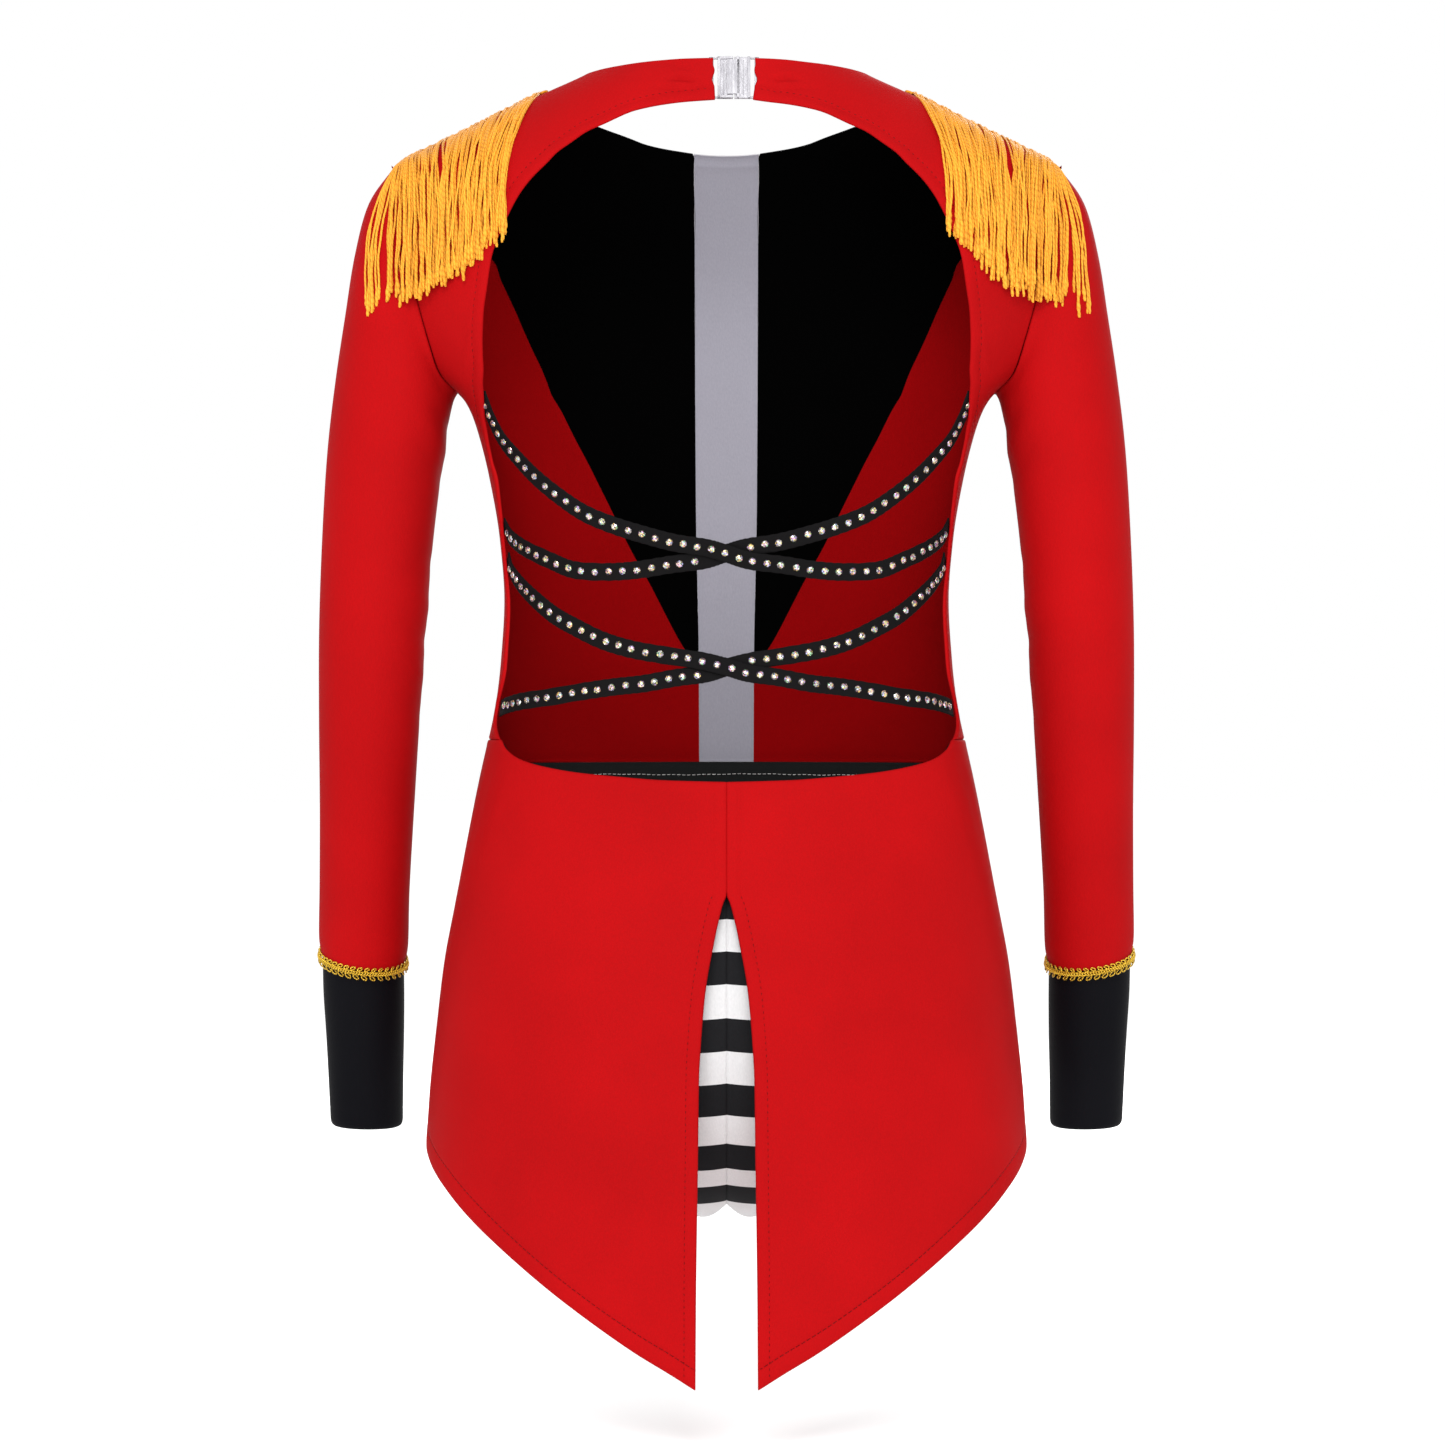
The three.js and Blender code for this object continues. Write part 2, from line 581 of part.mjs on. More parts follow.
// Back: one panel a side, from the waist round the open back into the neck band.
function backPanel(endX) {
  const rows = BACK_ROWS.map((row) => place(torso, row.sx, row.sz));
  const others = BACK_ROWS.map((row) => {
    if (row.side !== undefined) return { angle: SIDE_SEAM, z: row.side };
    if (row.arm !== undefined) return armhole(row.arm);
    if (row.ridge !== undefined) return { angle: 0, z: row.ridge };
    return neckBack(row.neck);
  });
  const endLow = place(torso, endX, 1);
  rows.push(endLow);
  others.push({ angle: angleAt(torso, endX, NECK_BACK, false), z: NECK_BACK });
  return panel(torso, rows, others, 6);
}

add("back_side_left", backPanel(6.4), "#d0151a");
add("back_side_right", mirrored(backPanel(13.8)), "#d0151a");

// Front: centre strip, black vees and red sides.
const stripHalf = (z) => along(STRIP, "z", z, "half");
const stripEdge = (z) => ({ angle: angleAt(torso, stripHalf(z), z, true), z });
const neckRows = FRONT_NECK.map((row) => place(torso, row.sx, row.sz, true));
const stripTop = neckRows[1].z;
const veeSeen = VEE_SEAM.map((row) => place(torso, row.sx, row.sz, true));
const veeSeam = [...veeSeen, ...VEE_TURN, { angle: 0, z: VEE_RIDGE }];

const CENTRE_ROWS = 14;
const CENTRE_COLUMNS = 4;
const centreGrid = range(CENTRE_ROWS + 1).map((i) => {
  const z = mix(WAIST_FRONT, stripTop, i / CENTRE_ROWS);
  const edge = stripEdge(z).angle;
  return range(CENTRE_COLUMNS + 1).map((j) => {
    const top = i === CENTRE_ROWS && j === CENTRE_COLUMNS / 2;
    return { angle: mix(edge, -180 - edge, j / CENTRE_COLUMNS), z: top ? neckRows[0].z : z };
  });
});

// Torso taken on past the centre line, for pieces that cross it.
function torsoAcross(angle, z) {
  if (angle >= -90) return torso(angle, z);
  const p = torso(-180 - angle, z);
  p.x = -p.x;
  return p;
}
add("front_centre", panelOf(torsoAcross, centreGrid), "#f2f2f4");

const veeBottom = veeSeam[0].z;
const veeNeck = [neckRows[2], neckRows[3], ...FRONT_NECK_TURN, { angle: 0, z: NECK_CORNER }];
const stripRows = veeSeam.length - veeNeck.length;
const veeInner = veeSeam.map((_, i) => {
  if (i >= stripRows) return veeNeck[i - stripRows];
  return stripEdge(mix(veeBottom, stripTop, i / (stripRows - 1)));
});
veeSeam[0].angle = Math.max(veeSeam[0].angle, veeInner[0].angle + VEE_POINT);
addPair("front_vee", panel(torso, veeInner, veeSeam, 6), "#0c0c0d");

// Rows of the red side front: inner edge up the strip and the vee, outer up side and armhole.
const SIDE_ROWS = 5;
const SIDE_COLUMNS = 7;
const armRows = RING / 2; // the armhole's front half, from its lowest to its top point
const sideRows = veeSeam.length - 1 - armRows;
const upperOuter = veeSeam.map((_, i) => {
  if (i > sideRows) return armhole(180 + (i - sideRows) * ARM_STEP);
  return { angle: SIDE_SEAM, z: mix(SIDE_LOW, armhole(ARM_LOW).z, i / sideRows) };
});
const across = range(SIDE_COLUMNS + 1).map((j) => j / SIDE_COLUMNS);
const lowerSide = range(SIDE_ROWS).map((i) =>
  across.map((t) => {
    const angle = mix(stripEdge(mix(WAIST_FRONT, veeBottom, i / SIDE_ROWS)).angle, SIDE_SEAM, t);
    return { angle, z: mix(waist(angle), mix(veeBottom, SIDE_LOW, t), i / SIDE_ROWS) };
  }),
);
const upperSide = veeSeam.map((a, i) =>
  across.map((t) => ({
    angle: mix(a.angle, upperOuter[i].angle, t),
    z: mix(a.z, upperOuter[i].z, t),
  })),
);
addPair("front_side", panelOf(torso, [...lowerSide, ...upperSide]), "#d0151a");

// Sleeve, cuff and braid rings.
function ringOf(row, radial = 0) {
  const armRing = row.arm ? armLoop() : null;
  const grow = row.ox - row.ix;
  const axis = new THREE.Vector3(row.ox - row.ix, 0, row.oz - row.iz).normalize();
  return range(RING).map((k) => {
    const turn = (k / RING) * 360;
    const c = power(Math.cos(turn * rad), 2 / row.square);
    const s = power(Math.sin(turn * rad), 2 / row.square);
    const spread = Math.hypot(grow, row.oz - row.iz) / 2 + radial;
    const deep = (row.depth + radial) * s;
    const p = new THREE.Vector3(
      (row.ox + row.ix) / 2 + axis.x * spread * c,
      row.shift - deep * Math.cos(row.tilt * rad),
      (row.oz + row.iz) / 2 + axis.z * spread * c - deep * Math.sin(row.tilt * rad),
    );
    if (armRing) p.addScaledVector(armRing[k], row.arm);
    p.x = -p.x;
    return p;
  });
}

// How far the armhole's loop stands off a plain ring of its own size.
function armLoop() {
  const top = armhole(0);
  const bottom = armhole(180);
  const plain = {
    ox: -torso(0, top.z).x,
    oz: top.z,
    ix: -torso(0, bottom.z).x,
    iz: bottom.z,
    shift: 0,
    depth: SLEEVE[0].depth,
    tilt: 0,
    square: ARM_SQUARE,
    arm: 0,
  };
  const flat = ringOf(plain);
  return range(RING).map((k) => {
    const at = armhole((k / RING) * 360);
    const p = torso(at.angle, at.z);
    return new THREE.Vector3(-(p.x - flat[k].x), p.y - flat[k].y, p.z - flat[k].z);
  });
}

const loop = range(RING).map((k) => {
  const at = armhole((k / RING) * 360);
  return torso(at.angle, at.z);
});

// Tube of cloth through rings, with its inside face moved in along the grid's normals.
function tube(rings, thick = CLOTH) {
  const n = rings[0].length;
  const centre = rings.map((ring) =>
    ring.reduce((sum, p) => sum.add(p), new THREE.Vector3()).divideScalar(n),
  );
  const inner = rings.map((ring, i) =>
    ring.map((p, k) => {
      const round = ring[(k + 1) % n].clone().sub(ring[(k + n - 1) % n]);
      const up = rings[Math.min(i + 1, rings.length - 1)][k].clone();
      up.sub(rings[Math.max(i - 1, 0)][k]);
      const normal = round.cross(up).normalize();
      if (normal.dot(p.clone().sub(centre[i])) < 0) normal.negate();
      return p.clone().addScaledVector(normal, -thick);
    }),
  );
  return wall(rings, inner, true);
}

const sleeveRings = [loop, ...SLEEVE.map((row) => ringOf(row))];
sleeveRings[0] = loop.map((p, k) => {
  const step = sleeveRings[1][k].clone().sub(p);
  return p.clone().addScaledVector(step, (SEAM + 0.1) / step.length());
});
addPair("sleeve", tube(sleeveRings), "#d0151a");
addPair("cuff", tube(CUFF.map((row) => ringOf(row))), "#16161a");

// Braid: a closed band of rounded section round the cuff seam.
function braidRing() {
  const seam = SLEEVE[SLEEVE.length - 1];
  const section = range(8).map((k) => {
    const turn = (k / 8) * 360 + 22.5;
    return {
      out: SEAM + BRAID.thick / 2 + (power(Math.cos(turn * rad), BRAID.square) * BRAID.thick) / 2,
      up: (power(Math.sin(turn * rad), BRAID.square) * BRAID.height) / 2,
    };
  });
  const rings = section.map(({ out, up }) => {
    const row = { ...seam, oz: seam.oz + up - BRAID.drop, iz: seam.iz + up - BRAID.drop };
    return ringOf(row, out + BRAID.clear);
  });
  const n = RING;
  const points = rings.flat();
  const faces = [];
  for (const i of range(8)) {
    for (const k of range(n)) {
      const i2 = (i + 1) % 8;
      const k2 = (k + 1) % n;
      faces.push([i * n + k, i * n + k2, i2 * n + k2], [i * n + k, i2 * n + k2, i2 * n + k]);
    }
  }
  return solid(points, faces);
}
addPair("cuff_braid", braidRing(), "#cca541");

// Tails: from the centre back round to the front, hem rising to the waist.
function tailPanel() {
  const grid = TAIL_ROWS.map((share) =>
    TAIL_COLUMNS.map((angle, j) => {
      const top = waist(angle) - SEAM;
      const fade = (1 - j / (TAIL_COLUMNS.length - 1)) ** VENT_FADE;
      const z = mix(top, along(HEM, "angle", angle - VENT_AT_HEM * fade, "z"), share);
      const back = along(VENT, "z", z, "half");
      const vent = 90 - angleAt(tail, back + SEAM / 2, z, false);
      return { angle: angle - vent * fade, z };
    }),
  );
  const normals = grid.map((row) => row.map((g) => normalOf(tail, g.angle, g.z)));
  const points = grid.map((row) => row.map((g) => tail(g.angle, g.z)));
  const inner = points.map((row, i) =>
    row.map((p, j) => p.clone().addScaledVector(normals[i][j], -CLOTH)),
  );
  return wall(points, inner);
}
addPair("tail", tailPanel(), "#cd1414");

// Brief: rows of arcs from the centre seam to the side and leg edges.
function briefGrid(table, front, columns) {
  const angles = range(columns + 1).map((j) => (j / columns) * 90);
  const waistRow = (drop) =>
    angles.map((turn) => {
      const angle = front ? -90 + (turn / 90) * (90 + SIDE_SEAM) : 90 - (turn / 90) * (90 - SIDE_SEAM);
      const z = waist(angle) - SEAM - drop;
      const p = torso(angle, z).addScaledVector(normalOf(torso, angle, z), -BRIEF_INSET);
      return p;
    });
  const rows = [waistRow(0), waistRow(13)];
  for (const row of table) {
    const arc = row.arc * rad;
    rows.push(
      angles.map((turn) => {
        const t = (turn / 90) * arc;
        const share = (Math.cos(t) - Math.cos(arc)) / (1 - Math.cos(arc));
        const x = (row.ex * Math.sin(t)) / Math.sin(arc);
        const notch = SEAM_LIFT * row.lift * Math.exp(-((x / SEAM_LIFT_WIDTH) ** SEAM_LIFT_POWER));
        return new THREE.Vector3(-x, mix(row.ey, row.cy, share), mix(row.ez, row.cz, share) + notch);
      }),
    );
  }
  return rows;
}

// Cloth wall on a free grid of points, thick towards the inside of the garment.
function clothOn(points, inside, depth = 0, thick = CLOTH) {
  const rows = points.length - 1;
  const columns = points[0].length - 1;
  const normal = (i, j) => {
    const across = points[i][Math.min(j + 1, columns)].clone().sub(points[i][Math.max(j - 1, 0)]);
    const down = points[Math.min(i + 1, rows)][j].clone().sub(points[Math.max(i - 1, 0)][j]);
    const n = across.cross(down).normalize();
    return n.dot(points[i][j].clone().sub(inside)) < 0 ? n.negate() : n;
  };
  const shifted = (by) =>
    points.map((row, i) => row.map((p, j) => p.clone().addScaledVector(normal(i, j), -by)));
  return wall(shifted(depth), shifted(depth + thick));
}

const briefHalf = setBack(briefGrid(BRIEF_BACK, false, 8), SEAM);
const backHalf = briefHalf.map((row) =>
  row.map((p, j) => (j === 0 ? new THREE.Vector3(-SEAM / 2, p.y, p.z) : p)),
);
addPair("brief_back", clothOn(backHalf, BRIEF_MIDDLE), "#e9e9ec");
const frontHalf = briefGrid(BRIEF_FRONT, true, 7);
const frontWhole = setBack(
  frontHalf.map((row) => [
    ...row.slice(1).reverse(),
    ...row.map((p) => new THREE.Vector3(-p.x, p.y, p.z)),
  ]),
  SEAM,
);
add("brief_front", clothOn(frontWhole, BRIEF_MIDDLE), "#e9e9ec");

// Inner waist band, inside the top of the brief's front.
const bandRows = range(3).map((i) => {
  const half = range(8).map((j) => {
    const angle = mix(-90, SIDE_SEAM, j / 7);
    const z = waist(angle) - SEAM - (i / 2) * BAND_HEIGHT;
    const depth = BRIEF_INSET + CLOTH + SEAM + 0.3;
    return torso(angle, z).addScaledVector(normalOf(torso, angle, z), -depth);
  });
  return [...half.slice(1).reverse(), ...half.map((p) => new THREE.Vector3(-p.x, p.y, p.z))];
});
add("waist_band", clothOn(bandRows, new THREE.Vector3(0, 0, -340), 0, 1), "#2c2e2e");

// Straps: flat webbing that follows the back's form inside the side panels.
function strap(table, deeper) {
  const placed = table.map((row) => {
    const side = Math.sign(row.sx);
    const at = place(torso, Math.abs(row.sx), row.sz);
    const p = torso(at.angle, at.z);
    const n = normalOf(torso, at.angle, at.z);
    if (side > 0) {
      p.x = -p.x;
      n.x = -n.x;
    }
    const across = Math.exp(-((row.sx / STRAP_STEP_WIDTH) ** 2));
    const depth = STRAP_DEPTH + deeper * across;
    return { p: p.addScaledVector(n, -depth), n };
  });
  const last = placed.length - 1;
  const corners = placed.map(({ p, n }, i) => {
    const run = placed[Math.min(i + 1, last)].p.clone().sub(placed[Math.max(i - 1, 0)].p).normalize();
    const wide = run.clone().cross(n).normalize();
    return [
      [1, 1],
      [1, -1],
      [-1, -1],
      [-1, 1],
    ].map(([w, t]) =>
      p
        .clone()
        .addScaledVector(wide, (w * WEBBING_WIDTH) / 2)
        .addScaledVector(n, (t * WEBBING_THICK) / 2),
    );
  });
  const points = corners.flat();
  const faces = [];
  for (const i of range(last)) {
    for (const k of range(4)) {
      const k2 = (k + 1) % 4;
      const a = i * 4;
      const b = a + 4;
      faces.push([a + k, b + k, b + k2], [a + k, b + k2, a + k2]);
    }
  }
  const e = last * 4;
  faces.push([0, 1, 2], [0, 2, 3], [e, e + 2, e + 1], [e, e + 3, e + 2]);
  return solid(points, faces);
}
const flip = (table) => table.map((row) => ({ sx: -row.sx, sz: row.sz }));
add("strap_high_left", strap(STRAP_HIGH, 0), "#1c1b1d");
add("strap_high_right", strap(flip(STRAP_HIGH), STRAP_STEP), "#1c1b1d");
add("strap_low_left", strap(STRAP_LOW, 0), "#1c1b1d");
add("strap_low_right", strap(flip(STRAP_LOW), STRAP_STEP), "#1c1b1d");

// Joins and cuts of closed solids.
function toManifold(geometry) {
  return new wasm.Manifold(
    new wasm.Mesh({
      numProp: 3,
      vertProperties: new Float32Array(geometry.getAttribute("position").array),
      triVerts: new Uint32Array(geometry.index.array),
    }),
  );
}

function fromManifold(body) {
  const mesh = body.getMesh();
  const geometry = new THREE.BufferGeometry();
  geometry.setAttribute("position", new THREE.Float32BufferAttribute(mesh.vertProperties, 3));
  geometry.setIndex([...mesh.triVerts]);
  return geometry;
}

// Box with shared corners, given by its two ends.
function block(x0, x1, y0, y1, z0, z1) {
  const points = [z0, z1].flatMap((z) => [
    new THREE.Vector3(x0, y0, z),
    new THREE.Vector3(x1, y0, z),
    new THREE.Vector3(x1, y1, z),
    new THREE.Vector3(x0, y1, z),
  ]);
  const faces = [
    [0, 2, 1],
    [0, 3, 2],
    [4, 5, 6],
    [4, 6, 7],
  ];
  for (const k of range(4)) {
    const k2 = (k + 1) % 4;
    faces.push([k, k2, k2 + 4], [k, k2 + 4, k + 4]);
  }
  return solid(points, faces);
}
const fuse = (parts) => wasm.Manifold.union(parts.map(toManifold));

// Clasp half in its own frame: x across, y out of the back is negative, z up.
function claspHalf(side) {
  const h = CLASP.height / 2;
  const outer = CLASP.half;
  const bar = CLASP.bar;
  const slot = CLASP.slot;
  const t = CLASP.plate / 2;
  const inner = outer - bar - slot;
  const bars = t * CLASP_BAR_THICK;
  const proud = -t - CLASP_RAISE;
  const x = (a, b) => (side < 0 ? [-b, -a] : [a, b]);
  const parts = [
    block(...x(outer - bar, outer), -bars, bars, -h, h),
    block(...x(inner - 0.1, outer), -bars, bars, h - CLASP_RAIL, h),
    block(...x(inner - 0.1, outer), -bars, bars, -h, -h + CLASP_RAIL),
    block(...x(inner - CLASP_RIB, inner), proud, t, -h, h),
  ];
  if (side < 0) {
    // Loop half: a plate with a raised frame that takes the hook.
    parts.push(block(...x(0.4, inner), -t, t, -h, h));
    parts.push(block(...x(0.4, inner), proud, t, h - CLASP_FRAME, h));
    parts.push(block(...x(0.4, inner), proud, t, -h, -h + CLASP_FRAME));
  } else {
    // Hook half: a plate with a tongue that lies in the frame of the other half.
    const { from, to, rise, short } = CLASP_TONGUE;
    parts.push(block(...x(0.2, inner), -t, t, -h, h));
    parts.push(block(...x(to - CLASP_NECK, to), -t - rise, t, -h, h));
    parts.push(block(from, to, -t - rise, -t - SEAM, -h + short, h - short));
  }
  return fromManifold(fuse(parts));
}
for (const [name, side] of [
  ["clasp_loop", -1],
  ["clasp_hook", 1],
]) {
  const geometry = claspHalf(side);
  const middle = torso(89, CLASP.z);
  geometry.rotateX(-CLASP.lean * rad);
  const back = middle.y + CLOTH + SEAM + CLASP.plate / 2 + CLASP_BEHIND;
  geometry.translate(CLASP.x, back, CLASP.z);
  add(name, geometry, "#e8eaec");
}

// Shoulder fringe. The header lies just in front of the shoulder line, and the strands run
// over that line to the back, or straight down the front.
function sleeveDepth(x, z, front) {
  let best = null;
  for (const i of range(sleeveRings.length - 1)) {
    for (const k of range(RING)) {
      const a = sleeveRings[i][k];
      const b = sleeveRings[i][(k + 1) % RING];
      const c = sleeveRings[i + 1][(k + 1) % RING];
      const d = sleeveRings[i + 1][k];
      for (const [p, q, r] of [
        [a, b, c],
        [a, c, d],
      ]) {
        const det = (q.z - r.z) * (p.x - r.x) + (r.x - q.x) * (p.z - r.z);
        if (Math.abs(det) < 1e-9) continue;
        const u = ((q.z - r.z) * (x - r.x) + (r.x - q.x) * (z - r.z)) / det;
        const v = ((r.z - p.z) * (x - r.x) + (p.x - r.x) * (z - r.z)) / det;
        const w = 1 - u - v;
        if (u < -0.01 || v < -0.01 || w < -0.01) continue;
        const y = u * p.y + v * q.y + w * r.y;
        if (best === null || (front ? y > best : y < best)) best = y;
      }
    }
  }
  return best;
}

// Depth of the outer face of body or sleeve at a place, behind or in front of the side line.
function clothDepth(x, z, front) {
  const reach = along(TORSO, "z", z, "half");
  const found = [sleeveDepth(-x, z, front)];
  if (x < reach) {
    const angle = angleAt(torso, x, z, front);
    const limit = front ? ARM_FRONT : ARM_BACK;
    if (Math.abs(angle) > limit * 0.6 || z > ARM_TOP) found.push(torso(angle, z).y);
  }
  const values = found.filter((v) => v !== null);
  if (!values.length) return 0;
  return front ? Math.max(...values) : Math.min(...values);
}

const ridgePoint = (share, up, y) => {
  const x = along(FRINGE_RIDGE, "along", share, "x");
  const z = along(FRINGE_RIDGE, "along", share, "z");
  return new THREE.Vector3(-x, y, z + up);
};

// Rod of a few sides through points, closed at both ends.
function rod(path, radius, sides = 3) {
  const points = [];
  const faces = [];
  const last = path.length - 1;
  path.forEach((p, i) => {
    const run = path[Math.min(i + 1, last)].clone().sub(path[Math.max(i - 1, 0)]).normalize();
    const side = new THREE.Vector3(1, 0.02, 0).cross(run).normalize();
    const out = run.clone().cross(side).normalize();
    for (const k of range(sides)) {
      const turn = (k / sides) * 2 * Math.PI;
      const r = i === last ? radius * 0.8 : radius;
      points.push(
        p
          .clone()
          .addScaledVector(side, Math.cos(turn) * r)
          .addScaledVector(out, Math.sin(turn) * r),
      );
    }
  });
  for (const i of range(last)) {
    for (const k of range(sides)) {
      const k2 = (k + 1) % sides;
      const a = i * sides;
      const b = a + sides;
      faces.push([a + k, b + k, b + k2], [a + k, b + k2, a + k2]);
    }
  }
  for (const k of range(sides - 2)) {
    faces.push([0, k + 1, k + 2]);
    faces.push([last * sides, last * sides + k + 2, last * sides + k + 1]);
  }
  return solid(points, faces);
}

function strand(index, count, front) {
  const share = (index + 0.5) / count;
  const layer = index % 2;
  const hang = along(HANG, "along", share, front ? "front" : "back");
  const uneven = Math.sin(index * 1.7) * TIP_SPREAD;
  const tip = along(HANG, "along", share, front ? "frontTip" : "tip") + uneven;
  const sign = front ? 1 : -1;
  const off = STRAND_CLEAR + layer * STRAND_LAYER;
  const start = ridgePoint(share, HEADER.lift + HEADER.thick / 2, HEADER.y + sign * STRAND_ROOT);
  const rim = ridgePoint(share, RIM_LIFT + off, front ? RIM_FRONT : RIM_BACK);
  const path = [rim];
  for (const t of STRAND_STEPS) {
    const x = mix(-rim.x, hang, smooth(Math.min(1, t * 2.2)));
    const z = mix(rim.z, tip, t);
    path.push(new THREE.Vector3(-x, clothDepth(x, z, front) + sign * off, z));
  }
  hangOutside(path, off, sign, front);
  return rod([start, ...path], STRAND_RADIUS);
}

// Pushes a hanging line's points outwards until it clears the cloth all along.
function hangOutside(path, off, sign, front) {
  for (const _ of range(4)) {
    for (const i of range(path.length - 1)) {
      let worst = 0;
      for (const k of range(5)) {
        const p = path[i].clone().lerp(path[i + 1], (k + 0.5) / 5);
        const needed = clothDepth(-p.x, p.z, front) + sign * off;
        worst = Math.max(worst, sign * (needed - p.y));
      }
      if (i > 0) path[i].y += sign * worst;
      path[i + 1].y += sign * worst;
    }
  }
  for (const i of range(path.length - 1)) {
    const inner = front ? path[i + 1].y < path[i].y : path[i + 1].y > path[i].y;
    if (inner) path[i + 1].y = path[i].y;
  }
}

function fringe() {
  const steps = HEADER.sides;
  const outer = range(steps + 1).map((i) => {
    const share = i / steps;
    return [HEADER.y - HEADER.width / 2, HEADER.y + HEADER.width / 2].map((y) => {
      const drop = HEADER.lean * Math.max(0, y - 2);
      return ridgePoint(share, HEADER.lift + HEADER.thick - drop, y);
    });
  });
  const inner = outer.map((row) => row.map((p) => p.clone().setZ(p.z - HEADER.thick)));
  const parts = [wall(outer, inner)];
  for (const i of range(STRANDS_BACK)) parts.push(strand(i, STRANDS_BACK, false));
  for (const i of range(STRANDS_FRONT)) parts.push(strand(i, STRANDS_FRONT, true));
  return fromManifold(fuse(parts));
}
addPair("fringe", fringe(), "#f5aa35");

export default root;
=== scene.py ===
"""Looks of a stage costume: leotard with an open back, long sleeves and coat tails.

Sizes are in millimetres until a mesh is made. +Z is up, +X is the wearer's right, and the
wearer looks along +Y. Columns sx and sz are as drawn on the plane y = 0 from the eye.
"""
import math

import bpy
import numpy as np
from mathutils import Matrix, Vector
from mathutils.bvhtree import BVHTree


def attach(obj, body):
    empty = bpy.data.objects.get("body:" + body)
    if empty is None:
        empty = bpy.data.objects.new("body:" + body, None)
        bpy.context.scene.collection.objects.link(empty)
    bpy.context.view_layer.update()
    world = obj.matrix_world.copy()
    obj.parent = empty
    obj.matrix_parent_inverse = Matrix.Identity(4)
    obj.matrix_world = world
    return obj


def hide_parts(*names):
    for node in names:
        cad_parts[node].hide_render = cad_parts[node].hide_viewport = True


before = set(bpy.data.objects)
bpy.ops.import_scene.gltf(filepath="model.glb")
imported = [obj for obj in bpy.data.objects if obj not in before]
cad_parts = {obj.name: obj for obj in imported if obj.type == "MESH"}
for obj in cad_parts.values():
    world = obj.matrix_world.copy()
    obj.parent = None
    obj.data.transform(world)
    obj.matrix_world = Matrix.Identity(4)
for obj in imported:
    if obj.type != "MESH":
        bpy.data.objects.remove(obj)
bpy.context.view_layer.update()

EYE = 2600
EYE_Z = -311
CLOTH = 1.2
SEAM = 0.3
ROUND = 2.2
SIDE_SEAM = -8
SWELL_END = 30
ARM_BACK = 24.5
ARM_FRONT = 27
ARM_TOP = -34
ARM_BOTTOM = -146
ARM_SQUARE = 2.6
RING = 16
ARM_STEP = 360 / RING
ARM_LOW = 192
SIDE_LOW = -270
WAIST_SIDE = -319.3
WAIST_FRONT = -331
WAIST_LEVEL = -30
WEBBING_WIDTH = 8.7
WEBBING_THICK = 1.0
BAND_HEIGHT = 14
BRIEF_INSET = CLOTH + 0.9
BRIEF_MIDDLE = -430
BRIEF_TUCK = 5
BRIEF_TUCK_AT = 17
BRIEF_TUCK_WIDTH = 17
NECK_BACK = 14.4
NECK_CORNER = 11.5
NECK_RISE_END = 80


def table(names, rows):
    """Table with named columns."""
    return {n: np.array([r[i] for r in rows], float) for i, n in enumerate(names.split())}


TORSO = table("z half swell back front", [
    (22, 52, 0, 54, 42), (11.5, 71, 0, 57, 46), (0, 96.5, 0, 60.5, 52),
    (-16.5, 130, 0, 66, 59), (-25, 148, 0, 69, 63), (-34, 166, 0, 73, 67),
    (-47, 176, 0, 77, 71), (-80, 178, -4, 83, 80), (-104, 172, -7, 85, 84),
    (-128, 160, -7, 86, 86), (-137, 150, -3, 86, 86), (-146, 134.5, 6.5, 85.5, 86),
    (-155, 128, 6, 85, 86), (-168, 123.5, 4, 83, 86), (-190, 118.2, 2, 79, 86),
    (-220, 113.2, 0, 73, 84), (-250, 111, 0, 69, 82), (-280, 112.7, 0, 70, 82),
    (-300, 115, 0, 73, 83), (-320, 119, 0, 76, 84), (-345, 124.5, 0, 79, 86),
])
TAILS = table("z half back front", [
    (-319, 119, 76, 84), (-340, 123.7, 79, 86), (-370, 129.7, 87, 90),
    (-400, 135.3, 95, 94), (-430, 140.7, 102, 98), (-460, 144.5, 108, 101),
    (-490, 147.2, 113, 103), (-520, 149.7, 116, 104), (-560, 152, 118, 104),
    (-600, 153, 117, 104), (-650, 153, 115, 104),
])
# Edge of the open back upwards, and what the panel's other edge does in the same row.
BACK_ROWS = [
    (114.2, -319.3, "side", -319.2), (116.2, -311, "side", -311), (115.2, -302.5, "side", -303),
    (111.75, -287.5, "side", -287), (110.25, -270, "side", -270), (109.5, -252.5, "side", -252),
    (110.9, -235, "side", -235),
    (112.4, -220, "side", -220), (113.75, -205, "side", -205), (115.5, -190, "side", -190),
    (118.75, -177.5, "side", -176), (121.5, -162, "side", -160), (122.4, -149, "arm", 192),
    (122.7, -139, "arm", 180), (122.8, -127, "arm", 157.5), (122.7, -114, "arm", 135),
    (121.6, -100, "arm", 112.5), (119.2, -84, "arm", 90), (116, -71, "arm", 67.5),
    (111.2, -60, "arm", 45), (104.5, -47, "arm", 22.5), (97.25, -37.5, "arm", 0),
    (89.75, -30, "ridge", -24), (81.75, -22.5, "ridge", -14), (70.75, -15, "ridge", -2),
    (61.75, -11, "ridge", 11.5), (49.75, -5.5, "neck", 22), (40.75, -3, "neck", 42),
    (30.75, -1.2, "neck", 58), (20.75, 0, "neck", 72),
]
VEE_SEAM = [
    (15.4, -278), (22.3, -272.5), (38.3, -242.5), (50.8, -220), (61.8, -197.5),
    (69.3, -182.5), (77.3, -167.5), (86.8, -150), (92.8, -135), (99.8, -120),
    (106.3, -105), (113.3, -90), (119, -78),
]
VEE_TURN = [(-36, -52), (-22, -37)]
VEE_RIDGE = -25.5
VEE_POINT = 1.1
